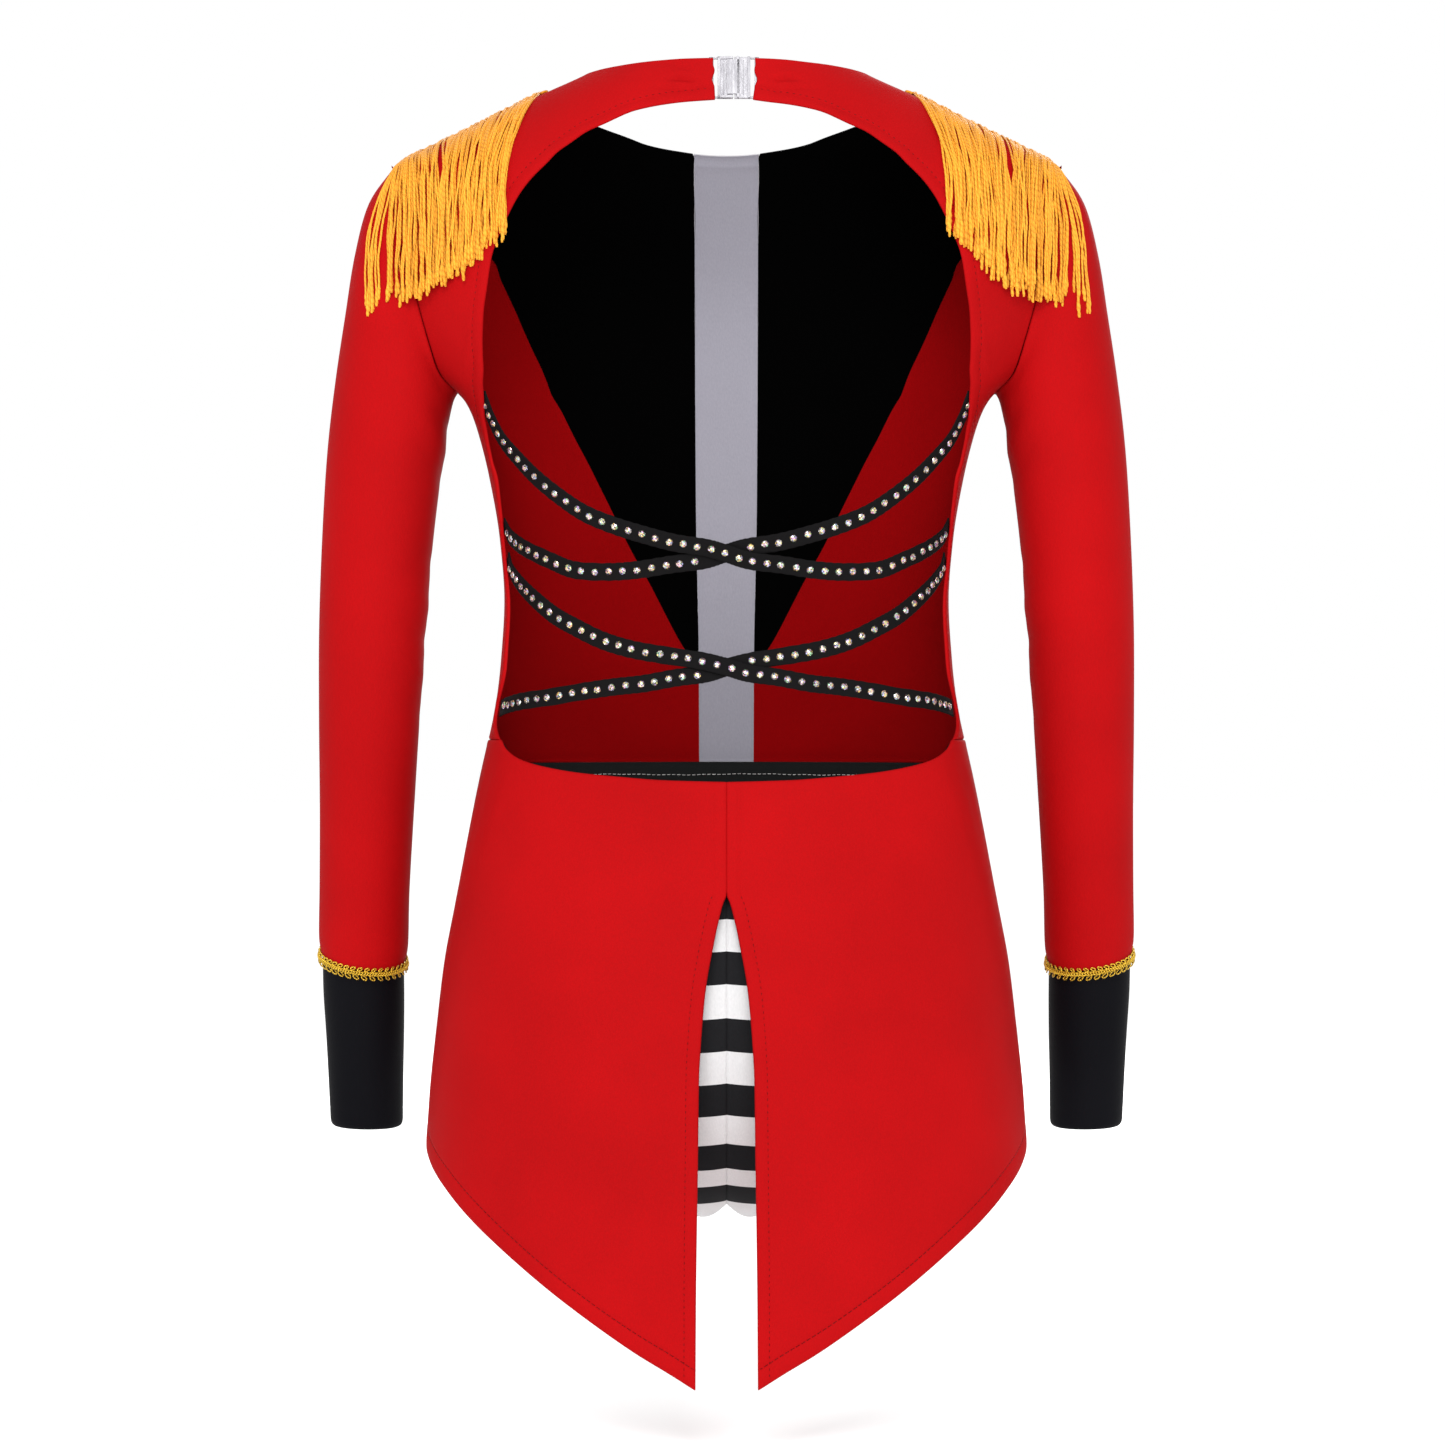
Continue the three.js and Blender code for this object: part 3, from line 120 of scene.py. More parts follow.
STRIP = table("z half", [(-18, 16.4), (-120, 16.2), (-200, 15.8), (-279, 14.3), (-331, 14.1)])
FRONT_NECK = [(0, -27.5), (16.2, -26.5), (38.25, -22.5), (58.75, -15)]
FRONT_NECK_TURN = [(-20, 5.5)]
SLEEVE = table("ox oz ix iz shift depth tilt square arm", [
    (178.5, -52, 136.2, -149, 0, 38, 0, 2.5, 0.6),
    (185.6, -78, 137.5, -153.5, 0, 38.5, 0, 2.4, 0.25),
    (190.4, -108, 138.9, -161, -0.5, 38, 0, 2.3, 0.08),
    (195.2, -140, 141, -177, -1, 36.5, 0, 2.2, 0),
    (199.2, -175, 144, -198, -2, 34.5, 0, 2.1, 0),
    (201.8, -216, 147.3, -228, -2, 32, 2, 2, 0),
    (203.6, -262, 150.3, -266, 0, 29.5, 5, 2, 0),
    (204.1, -308, 153.7, -310, 5, 27.5, 10, 2, 0),
    (204.4, -352, 157, -355, 14, 25.5, 13, 2, 0),
    (205.3, -392, 159.9, -396, 24, 24, 15, 2, 0),
    (206.1, -418, 161, -423, 31, 23.2, 16, 2, 0),
    (205, -427, 162.8, -432, 33, 21.8, 16, 2, 0),
])
CUFF = table("ox oz ix iz shift depth tilt square arm", [
    (204.4, -427.3, 163.3, -432.3, 33.1, 21.4, 16, 2, 0),
    (204.4, -447, 163.4, -451, 38, 21.4, 13, 2, 0),
    (203.4, -469, 163.9, -472, 43.5, 21, 10, 2, 0),
    (202.6, -492, 164.6, -494, 49, 20.2, 7, 2, 0),
    (201.8, -516.5, 165.1, -517, 54, 19.5, 4, 2, 0),
])
HEM = table("angle z", [
    (86, -630.8), (81.1, -621.8), (75.9, -613.3), (70.4, -604.1), (64.5, -594.4),
    (58, -584.2), (50.8, -573.2), (42.4, -561), (31.6, -546.6), (24, -537.8), (12, -527.5),
    (0, -519), (-12, -503), (-24, -478), (-36, -440), (-46, -395), (-54, -347),
])
TAIL_FRONT = -54
VENT = table("z half", [
    (-394.8, 0), (-397, 1.6), (-402.5, 3.1), (-411, 5.1), (-417, 6.3), (-425.5, 8),
    (-435, 9.7), (-444.7, 10.9), (-463.8, 12.5), (-483, 13.5), (-521, 13.95), (-550, 14.4),
    (-588, 14.85), (-640, 15.2),
])
VENT_FADE = 5
VENT_AT_HEM = 4.4
TAIL_COLUMNS = [90, 84, 75, 65, 55, 45, 35, 25, 14, 3, -8, -19, -30, -41, TAIL_FRONT]
SCOOP = table("angle z", [
    (90, -339.6), (76.8, -338.7), (67.3, -337.2), (56.6, -335.4), (45.6, -332.7),
    (34.8, -329.1), (25.1, -323.6), (20.6, WAIST_SIDE),
])
# Rows of the brief: centre y and z, edge x, y and z, degrees of its arc, and share of the seam's lift.
BRIEF_BACK = [
    (-81.5, -366, 121.5, 10, -350, 90, 0), (-86.5, -392, 125.5, 9, -376, 90, 0),
    (-91, -420, 128.5, 8, -401, 90, 0), (-93.5, -448, 129, 5, -424, 88, 0),
    (-93, -476, 121, -28, -448, 76, 0), (-88, -502, 100, -55, -476, 60, 0),
    (-77, -524, 75, -64, -504, 46, 0.05), (-60, -541, 53, -56, -527, 34, 0.15),
    (-38, -553, 37, -38, -541, 26, 0.45), (-14, -560.5, 29, -14, -548, 20, 0.85),
    (-4.15, -562, 28, -4.15, -548.5, 20, 1),
]
BRIEF_FRONT = [
    (84, -356, 121.5, 10, -350, 90, 0), (84, -384, 125.5, 9, -376, 90, 0),
    (82, -412, 128.5, 8, -401, 90, 0), (79, -440, 129, 5, -424, 90, 0),
    (74, -468, 112, 34, -450, 72, 0), (67, -496, 84, 47, -480, 52, 0),
    (56, -522, 54, 46, -512, 36, 0), (38, -541, 35, 34, -536, 26, 0),
    (14, -556, 28.5, 14, -547, 20, 0.35), (-3.85, -562, 28, -3.85, -548.5, 20, 1),
]
SEAM_LIFT = 11.4
SEAM_LIFT_WIDTH = 8
SEAM_LIFT_POWER = 1.3
# Heights at which the stripes change at the back's centre, from the first white one down.
STRIPES = [
    -406, -421.4, -437.2, -453.5, -469.4, -485.1, -500.6, -514.9, -527.6, -536.3, -545.9, -557,
]
STRIPE_ABOVE = 15.9
STRIPE_BELOW = 11
STRAP_HIGH = [
    (-123.6, -150), (-120.2, -158.5), (-114.2, -170), (-105.7, -180), (-96.2, -189.5),
    (-84.2, -199), (-71.7, -207), (-56.7, -213), (-41.7, -217.5), (-26.2, -221.5),
    (-10.2, -224), (0.3, -227), (11.8, -230.5), (28.3, -232.5), (44.8, -235),
    (60.3, -236), (77.3, -235), (89.3, -230.5), (102.3, -224.5), (109.8, -219),
    (112.4, -214.5),
]
STRAP_LOW = [
    (-110.9, -231.5), (-109.5, -236), (-104.2, -243), (-96.2, -250.5), (-87.2, -257.5),
    (-77.2, -263), (-63.7, -269.5), (-49.2, -274), (-32.7, -277), (-12.7, -280),
    (0.3, -283), (10.8, -286), (25.8, -288), (42.3, -291), (57.3, -292.7),
    (72.8, -295), (90.3, -298), (104.3, -300), (112, -302), (114.2, -303),
]
STRAP_DEPTH = CLOTH + SEAM + WEBBING_THICK / 2 + 0.35
STRAP_STEP = WEBBING_THICK + SEAM + 0.6
STRAP_STEP_WIDTH = 50
STRAP_TUCK = 3.5
EDGE_WAVE = 0.12
EDGE_WAVE_PITCH = 1.8
CLASP_X, CLASP_Z, CLASP_LEAN = 3.6, 4.4, 15
FRINGE_RIDGE = table("along x z", [
    (0, 93, 2.2), (0.2, 108, -5.4), (0.5, 131, -17), (0.8, 155, -28.5), (1, 163, -32.6),
])


# Curves and surfaces.
def along(rows, key, at, column):
    """Smooth monotone curve through two columns of a table."""
    x, y = rows[key], rows[column]
    if x[-1] < x[0]:
        x, y = x[::-1], y[::-1]
    at = np.clip(np.asarray(at, float), x[0], x[-1])
    slope = np.diff(y) / np.diff(x)
    before, after = slope[:-1], slope[1:]
    both = before * after > 0
    inner = np.where(both, 2 * before * after / np.where(both, before + after, 1), 0)
    m = np.concatenate([slope[:1], inner, slope[-1:]])
    i = np.clip(np.searchsorted(x, at, side="right") - 1, 0, len(x) - 2)
    h = x[i + 1] - x[i]
    t = (at - x[i]) / h
    return ((2 * t**3 - 3 * t**2 + 1) * y[i] + (t**3 - 2 * t**2 + t) * h * m[i]
            + (3 * t**2 - 2 * t**3) * y[i + 1] + (t**3 - t**2) * h * m[i + 1])


def power(value, exponent):
    return np.sign(value) * np.abs(value) ** exponent


def smooth(t):
    t = np.clip(t, 0, 1)
    return t * t * (3 - 2 * t)


def section(angle, z, half, depth):
    a = np.radians(angle)
    x = -half * power(np.cos(a), 2 / ROUND)
    y = -depth * power(np.sin(a), 2 / ROUND)
    return np.stack(np.broadcast_arrays(x, y, z), -1).astype(float)


def depth_of(rows, angle, z):
    back, front = along(rows, "z", z, "back"), along(rows, "z", z, "front")
    return np.where(np.asarray(angle) > 0, back, front)


def torso(angle, z):
    """Left half of the torso: angle 0 is the side, 90 centre back and -90 centre front."""
    swell = along(TORSO, "z", z, "swell") * smooth(np.abs(angle) / SWELL_END)
    return section(angle, z, along(TORSO, "z", z, "half") + swell, depth_of(TORSO, angle, z))


def tail(angle, z):
    return section(angle, z, along(TAILS, "z", z, "half"), depth_of(TAILS, angle, z))


def angle_at(surface, x, z, front):
    """Angle at which a surface passes at the distance x from the middle."""
    low = np.zeros(np.shape(x))
    high = low + 90
    for _ in range(36):
        middle = (low + high) / 2
        beyond = -surface(-middle if front else middle, z)[..., 0] > x
        low, high = np.where(beyond, middle, low), np.where(beyond, high, middle)
    return -low if front else low


def place(surface, sx, sz, front=False):
    """Puts sizes that are drawn on the plane y = 0 onto a surface, as the eye sees it."""
    sx, sz = np.asarray(sx, float), np.asarray(sz, float)
    y = np.full(sx.shape, 60.0 if front else -60.0)
    for _ in range(9):
        scale = (EYE + y) / EYE
        z = EYE_Z + (sz - EYE_Z) * scale
        angle = angle_at(surface, sx * scale, z, front)
        y = surface(angle, z)[..., 1]
    return np.stack([angle, z], -1)


def normal_of(surface, angle, z):
    da = surface(angle + 0.6, z) - surface(angle - 0.6, z)
    dz = surface(angle, z + 0.4) - surface(angle, z - 0.4)
    n = np.cross(da, dz)
    n /= np.linalg.norm(n, axis=-1, keepdims=True)
    p = surface(angle, z)
    out = n[..., 0] * p[..., 0] + n[..., 1] * p[..., 1]
    return np.where((out < 0)[..., None], -n, n)


def spline(values, count, corner=0):
    """Smooth curve through rows of values, count steps between two, sharp at a corner row."""
    if corner:
        upper, lower = spline(values[:corner + 1], count), spline(values[corner:], count)
        return np.concatenate([upper[:-1], lower])
    v = np.asarray(values, float)
    ends = np.concatenate([2 * v[:1] - v[1:2], v, 2 * v[-1:] - v[-2:-1]])
    t = (np.arange(count) / count).reshape([-1] + [1] * (v.ndim - 1))
    out = []
    for i in range(len(v) - 1):
        a, b, c, d = ends[i:i + 4]
        out.append(0.5 * (2 * b + (c - a) * t + (2 * a - 5 * b + 4 * c - d) * t**2
                          + (3 * b - a - 3 * c + d) * t**3))
    return np.concatenate(out + [v[-1:]])


def steps_of(path):
    """Length of a path up to each of its points."""
    return np.concatenate([[0], np.cumsum(np.linalg.norm(np.diff(path, axis=0), axis=1))])


def sample_at(values, run, at):
    """Rows of values that belong to the lengths run, at other lengths."""
    return np.stack([np.interp(at, run, values[:, k]) for k in range(values.shape[1])], -1)


def sample(path, at):
    """Points of a path at given lengths along it."""
    return sample_at(path, steps_of(path), at)


def armhole(turn):
    """Angle and height on the armhole: turn 0 is its top, 90 its back, 180 the underarm."""
    t = np.radians(turn)
    c, s = power(np.cos(t), 2 / ARM_SQUARE), power(np.sin(t), 2 / ARM_SQUARE)
    angle = s * np.where(s > 0, ARM_BACK, ARM_FRONT)
    return np.stack([angle, (ARM_TOP + ARM_BOTTOM) / 2 + c * (ARM_TOP - ARM_BOTTOM) / 2], -1)


def waist(angle):
    """Height of the waist seam, scooped behind and level in front."""
    angle = np.asarray(angle, float)
    t = smooth((SIDE_SEAM - angle) / (SIDE_SEAM - WAIST_LEVEL))
    front = WAIST_SIDE + (WAIST_FRONT - WAIST_SIDE) * t
    return np.where(angle > 0, along(SCOOP, "angle", angle, "z"), front)


def neck_back(angle):
    """Angle and height on the neck's edge behind."""
    rise = smooth(np.asarray(angle) / NECK_RISE_END)
    return np.stack([angle, NECK_CORNER + (NECK_BACK - NECK_CORNER) * rise], -1)


def strip_edge(z):
    """Angle and height on the edge of the white strip in front."""
    z = np.asarray(z, float)
    return np.stack([angle_at(torso, along(STRIP, "z", z, "half"), z, True), z], -1)


# Meshes.
def respace(points, near, far, count):
    """Columns set at given distances from the first and the last one, and evenly between."""
    out = []
    for row in points:
        run = steps_of(row)
        shrink = min(1, 0.42 * run[-1] / max(near[-1], far[-1]))
        first, last = np.array(near) * shrink, run[-1] - np.array(far[::-1]) * shrink
        at = np.concatenate([first, np.linspace(first[-1], last[0], count + 1)[1:-1], last])
        out.append(sample_at(row, run, at))
    return np.array(out)


# How far a rim bulges, as a share of the cloth's thickness.
RIM_ROUND = 0.3
# Edge profiles: distance from the edge and how far the cloth stands proud there.
SEAMED = [(0, -0.45), (0.7, -0.08), (1.6, 0.06), (3.2, 0)]
HEMMED = [(0, -0.35), (0.6, 0), (2.2, 0.16), (5, 0.12), (5.9, -0.22), (6.8, 0)]
TOPSTITCHED = [(0, -0.35), (0.6, 0), (2.4, 0.12), (5.6, 0.08), (6.3, -0.24), (7.1, 0)]
DEEP_HEM = [(0, -0.35), (0.7, 0), (3, 0.15), (8.7, 0.1), (9.6, -0.26), (10.5, 0)]
BARE = [(0, -0.2), (0.6, 0), (1.6, 0)]
TURNED = [(0, -0.35), (0.6, 0), (1.8, 0.08), (3.4, 0)]


def finish_grid(points, near, far, count, top, bottom, rows):
    """Grid with its four edges shaped by profiles, and the lift of each point."""
    distances = lambda profile: [p[0] for p in profile]
    lifts = lambda profile: [p[1] for p in profile]
    grid = respace(points, distances(near), distances(far), count)
    across = np.array(lifts(near) + [0] * (count - 1) + lifts(far)[::-1])
    if rows:
        grid = respace(grid.transpose(1, 0, 2), distances(top), distances(bottom), rows)
        grid = grid.transpose(1, 0, 2)
        down = np.array(lifts(top) + [0] * (rows - 1) + lifts(bottom)[::-1])
    else:
        down = np.zeros(len(grid))
    lift = across[None, :] + down[:, None]
    return grid, np.maximum(lift, -0.5)


def normals_of(points, closed=False):
    """Normals of a grid, facing away from the middle of each of its rows."""
    if closed:
        across = np.roll(points, -1, 1) - np.roll(points, 1, 1)
        middle = points.mean(1, keepdims=True)
    else:
        across = np.gradient(points, axis=1)
        middle = points * [0, 0, 1]
    n = np.cross(across, np.gradient(points, axis=0))
    n /= np.maximum(np.linalg.norm(n, axis=2, keepdims=True), 1e-9)
    return -n if np.sum(n * (points - middle)) < 0 else n


def creased(points, normals, creases):
    """Lifts points along their normals near lines, each (points, width, height)."""
    lift = np.zeros(points.shape[:2])
    for line, width, height in creases:
        line = np.asarray(line, float)
        best = np.full(points.shape[:2], 1e9)
        share = np.zeros(points.shape[:2])
        total = len(line) - 1
        for i in range(total):
            a, b = line[i], line[i + 1]
            d = b - a
            t = np.clip(((points - a) @ d) / (d @ d), 0, 1)
            gap = np.linalg.norm(points - a - t[..., None] * d, axis=2)
            closer = gap < best
            best, share = np.where(closer, gap, best), np.where(closer, (i + t) / total, share)
        ends = np.sin(np.pi * np.clip(share, 0.04, 0.96)) ** 0.7
        lift += height * np.exp(-(best / width) ** 2) * ends
    return points + normals * lift[..., None]


def mirrored(points):
    return points * [-1, 1, 1]


def link(obj):
    bpy.context.scene.collection.objects.link(obj)
    return obj


def make(name, points, faces, materials, slots=None, flat=False):
    """Mesh object from points in millimetres, on the one body."""
    mesh = bpy.data.meshes.new(name)
    mesh.from_pydata((np.asarray(points) * 0.001).tolist(), [], [tuple(f) for f in faces])
    for m in materials:
        mesh.materials.append(m)
    if slots is not None:
        mesh.polygons.foreach_set("material_index", np.asarray(slots, np.int32))
    if not flat:
        mesh.shade_smooth()
    mesh.update()
    obj = link(bpy.data.objects.new(name, mesh))
    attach(obj, "root")
    return obj


def shell(name, node, grid, lift, materials, closed=False, creases=(), thick=CLOTH,
          normals=None, right=False):
    """Cloth with an outer and an inner face and a rounded rim, standing for a CAD node.

    Returns the object, its outer face as a grid and the normals there. With right, the left
    piece that is given is mirrored.
    """
    if right:
        grid, creases = mirrored(grid), [(mirrored(line), w, h) for line, w, h in creases]
    n = normals_of(grid, closed) if normals is None else normals
    outer = creased(grid, n, creases) + n * lift[..., None]
    rows, columns = outer.shape[:2]
    face, lining = outer.reshape(-1, 3), (outer - n * thick).reshape(-1, 3)
    points, base = [face, lining], len(face)
    at = lambda i, j: i * columns + j % columns
    faces = [(at(i, j), at(i, j + 1), at(i + 1, j + 1), at(i + 1, j))
             for i in range(rows - 1) for j in range(columns if closed else columns - 1)]
    slots = [0] * len(faces) + [1] * len(faces)
    faces += [tuple(base + v for v in f[::-1]) for f in faces]

    def close(ring, beyond):
        """Closes the rim along a loop of points, rounded away from the points beyond it."""
        start, size = sum(len(p) for p in points), len(ring)
        middle = (face[ring] + lining[ring]) / 2
        away = middle - (face[beyond] + lining[beyond]) / 2
        away /= np.maximum(np.linalg.norm(away, axis=1, keepdims=True), 1e-9)
        points.append(middle + away * thick * RIM_ROUND)
        for k in range(size):
            a, b = k, (k + 1) % size
            faces.append((ring[b], ring[a], start + a, start + b))
            faces.append((start + b, start + a, base + ring[a], base + ring[b]))

    first = np.arange(columns)
    last = first[::-1] + (rows - 1) * columns
    if closed:
        close(first, first + columns)
        close(last, last - columns)
    else:
        down = np.arange(rows) * columns
        loop = np.concatenate([first, down[1:] + columns - 1, last[1:], down[::-1][1:-1]])
        i, j = np.divmod(loop, columns)
        close(loop, np.clip(i, 1, rows - 2) * columns + np.clip(j, 1, columns - 2))
    slots += [0] * (len(faces) - len(slots))
    a, b, c = face[list(faces[0][:3])]
    if np.dot(np.cross(b - a, c - a), n[0, 0]) < 0:
        faces = [f[::-1] for f in faces]
    obj = make(name, np.concatenate(points), faces, materials, slots)
    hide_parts(node)
    return obj, outer, n


def rod(path, radius, sides):
    """Points and faces of a rod through points; radius is one number or one a point."""
    path = np.asarray(path, float)
    radius = np.broadcast_to(radius, len(path))
    run = np.gradient(path, axis=0)
    run /= np.maximum(np.linalg.norm(run, axis=1, keepdims=True), 1e-9)
    side = np.cross([0.31, 0.95, 0.05], run)
    side /= np.maximum(np.linalg.norm(side, axis=1, keepdims=True), 1e-9)
    out = np.cross(run, side)
    turn = np.arange(sides) / sides * 2 * math.pi
    r = radius[:, None, None]
    points = (path[:, None] + side[:, None] * (np.cos(turn)[:, None] * r)
              + out[:, None] * (np.sin(turn)[:, None] * r))
    return points.reshape(-1, 3), tube_faces(len(path), sides)


def tube_faces(rings, sides):
    """Faces of a tube with a flat end on its first and last ring."""
    faces = [(i * sides + k, i * sides + (k + 1) % sides, (i + 1) * sides + (k + 1) % sides,
              (i + 1) * sides + k) for i in range(rings - 1) for k in range(sides)]
    ends = [tuple(range(sides))[::-1], tuple((rings - 1) * sides + k for k in range(sides))]
    return faces + ends


def attribute(obj, name, values, domain="POINT"):
    """Gives a mesh an attribute, one number for each point or corner."""
    made = obj.data.attributes.new(name, "FLOAT", domain)
    made.data.foreach_set("value", np.array(values, np.float32))


def joined(parts):
    """One list of points and faces from several."""
    points, faces, base = [], [], 0
    for p, f in parts:
        points.append(p)
        faces += [tuple(base + v for v in face) for face in f]
        base += len(p)
    return np.concatenate(points), faces


# Materials.
class Nodes:
    """A material's node tree, with short calls to add and link nodes."""

    def __init__(self, name):
        self.material = bpy.data.materials.new(name)
        self.material.use_nodes = True
        self.tree = self.material.node_tree
        self.shader = self.tree.nodes["Principled BSDF"]
        self.place = self.new("ShaderNodeTexCoord").outputs["Object"]

    def new(self, kind, **settings):
        node = self.tree.nodes.new(kind)
        for key, value in settings.items():
            if key in node.inputs:
                node.inputs[key].default_value = value
            else:
                setattr(node, key, value)
        return node

    def link(self, a, b):
        self.tree.links.new(a, b)

    def set(self, **values):
        for key, value in values.items():
            self.shader.inputs[key.replace("_", " ")].default_value = value

    def noise(self, scale, detail=2.0, stretch=(1, 1, 1)):
        mapping = self.new("ShaderNodeMapping")
        mapping.inputs["Scale"].default_value = stretch
        self.link(self.place, mapping.inputs["Vector"])
        node = self.new("ShaderNodeTexNoise", Scale=scale, Detail=detail)
        self.link(mapping.outputs["Vector"], node.inputs["Vector"])
        return node.outputs["Fac"]

    def cells(self, scale, feature="F1"):
        node = self.new("ShaderNodeTexVoronoi", feature=feature, Scale=scale)
        self.link(self.place, node.inputs["Vector"])
        return node.outputs["Distance"]

    def attribute(self, name, output="Fac"):
        return self.new("ShaderNodeAttribute", attribute_name=name).outputs[output]

    def colour(self, value):
        self.link(value, self.shader.inputs["Base Color"])

    def normal(self, value):
        self.link(value, self.shader.inputs["Normal"])

    def rough(self, fac, ends, values):
        stops = [(end, (value,) * 3) for end, value in zip(ends, values)]
        self.link(self.ramp(fac, stops), self.shader.inputs["Roughness"])

    def maths(self, operation, a, b=None):
        node = self.new("ShaderNodeMath", operation=operation)
        for k, v in enumerate((a, b)):
            if isinstance(v, (int, float)):
                node.inputs[k].default_value = v
            elif v is not None:
                self.link(v, node.inputs[k])
        return node.outputs[0]

    def ramp(self, fac, stops):
        node = self.new("ShaderNodeValToRGB")
        elements = node.color_ramp.elements
        while len(elements) < len(stops):
            elements.new(0.5)
        for e, (position, colour) in zip(elements, stops):
            e.position = position
            e.color = (*colour, 1)
        self.link(fac, node.inputs["Fac"])
        return node.outputs["Color"]

    def blend(self, fac, a, b):
        node = self.new("ShaderNodeMix", data_type="RGBA")
        for socket, v in ((node.inputs[0], fac), (node.inputs[6], a), (node.inputs[7], b)):
            if isinstance(v, tuple):
                socket.default_value = (*v, 1)
            elif isinstance(v, (int, float)):
                socket.default_value = v
            else:
                self.link(v, socket)
        return node.outputs[2]

    def bump(self, height, strength, distance, before=None):
        node = self.new("ShaderNodeBump", Strength=strength, Distance=distance)
        self.link(height, node.inputs["Height"])
        if before is not None:
            self.link(before, node.inputs["Normal"])
        return node.outputs["Normal"]


def shade(colour, by):
    return tuple(c * by for c in colour)


def knit(name, colour, rough=0.78, specular=0.05, contrast=0.1, grain=0.25):
    """Stretch knit: fine upright stitches, slow changes of tone and a soft sheen."""
    m = Nodes(name)
    stitches = m.noise(1500, 2, (1, 1, 0.4))
    fuzz = m.cells(1900)
    broad = m.noise(14, 3)
    dark, pale = shade(colour, 1 - contrast), shade(colour, 1 + contrast * 0.5)
    tone = m.ramp(broad, [(0.3, dark), (0.7, pale)])
    fine = m.ramp(stitches, [(0.25, shade(colour, 0.8)), (0.75, shade(colour, 1.12))])
    m.colour(m.blend(0.35, tone, fine))
    m.rough(stitches, (0.2, 0.8), (rough - 0.07, rough + 0.07))
    first = m.bump(stitches, grain, 0.0002)
    second = m.bump(fuzz, grain * 0.6, 0.00015, first)
    m.normal(m.bump(broad, 0.12, 0.002, second))
    m.set(Specular_IOR_Level=specular, Sheen_Roughness=0.4)
    return m.material


def striped(name, white, black):
    """Striped knit: the colour changes at each whole number of the attribute stripe."""
    m = Nodes(name)
    stitches = m.noise(1500, 2, (1, 1, 0.4))
    dark = m.maths("GREATER_THAN", m.maths("FLOORED_MODULO", m.attribute("stripe"), 2.0), 1.0)
    pale = m.ramp(stitches, [(0.25, shade(white, 0.93)), (0.75, shade(white, 1.03))])
    deep = m.ramp(stitches, [(0.25, shade(black, 0.8)), (0.75, shade(black, 1.3))])
    m.colour(m.blend(dark, pale, deep))
    m.rough(stitches, (0.2, 0.8), (0.74, 0.88))
    m.normal(m.bump(stitches, 0.2, 0.0002))
    m.set(Specular_IOR_Level=0.12)
    return m.material


def thread(name, colour, dark, rough=0.45, metallic=0.0, specular=0.3, strength=0.6,
           depth=0.0004):
    """Twisted thread: twist counts the turns of the ply, whose grooves get painted shade in the colour dark
    and whose crests a faint painted highlight, and tone differs from cord to cord.
    """
    m = Nodes(name)
    wave = m.maths("SINE", m.maths("MULTIPLY", m.attribute("twist"), 2 * math.pi))
    half = m.maths("MULTIPLY", m.maths("ADD", wave, 1.0), 0.5)
    mottle = m.noise(60, 3)
    # Painted shade: dark in the ply's grooves, a little paler on its crests, following the twist.
    ply = m.ramp(half, [(0.0, dark), (0.45, colour), (1.0, shade(colour, 1.08))])
    each = m.ramp(m.attribute("tone"), [(0.0, dark), (0.5, colour), (1.0, shade(colour, 1.1))])
    m.colour(m.blend(0.5, ply, each))
    m.rough(mottle, (0.3, 0.7), (rough - 0.08, rough + 0.08))
    m.normal(m.bump(half, strength, depth))
    m.set(Metallic=metallic, Specular_IOR_Level=specular, Sheen_Weight=0.02, Sheen_Roughness=0.3)
    return m.material


def webbing(name, colour):
    """Elastic webbing: ribs along it and fine threads across, by two attributes."""
    m = Nodes(name)
    waves = [m.maths("SINE", m.maths("MULTIPLY", m.attribute(way), 2 * math.pi / pitch))
             for way, pitch in (("across", 1.1), ("along", 0.9))]
    woven = m.maths("MULTIPLY", m.maths("ADD", m.maths("MULTIPLY", *waves), 1.0), 0.5)
    fuzz = m.noise(1200, 2)
    tone = m.ramp(woven, [(0.0, shade(colour, 0.6)), (1.0, shade(colour, 1.6))])
    spots = m.ramp(fuzz, [(0.3, shade(colour, 0.7)), (0.7, shade(colour, 1.5))])
    m.colour(m.blend(0.5, tone, spots))
    m.rough(fuzz, (0.3, 0.7), (0.7, 0.85))
    m.normal(m.bump(woven, 0.5, 0.0003))
    m.set(Specular_IOR_Level=0.08)
    return m.material


def crystal(name):
    """Faceted stones whose pale coating colours, dark painted reflections and painted glints change from
    facet to facet.
    """
    m = Nodes(name)
    fine = m.noise(900, 1)
    m.colour(m.attribute("tint_and_reflection", "Color"))
    m.rough(fine, (0.3, 0.7), (0.06, 0.16))
    m.normal(m.bump(fine, 0.05, 0.0001))
    m.set(Metallic=0.75, Specular_IOR_Level=0.6, Coat_Weight=0.15, Coat_Roughness=0.05)
    return m.material


def plastic(name):
    """Clear moulded plastic, slightly clouded and drawn in one direction."""
    m = Nodes(name)
    flow = m.noise(500, 3, (1, 1, 0.12))
    m.colour(m.ramp(flow, [(0.3, (0.41, 0.40, 0.43)), (0.7, (0.58, 0.57, 0.60))]))
    m.rough(flow, (0.3, 0.7), (0.12, 0.25))
    m.normal(m.bump(flow, 0.5, 0.0004))
    m.set(Transmission_Weight=0.2, IOR=1.4, Specular_IOR_Level=0.2)
    return m.material
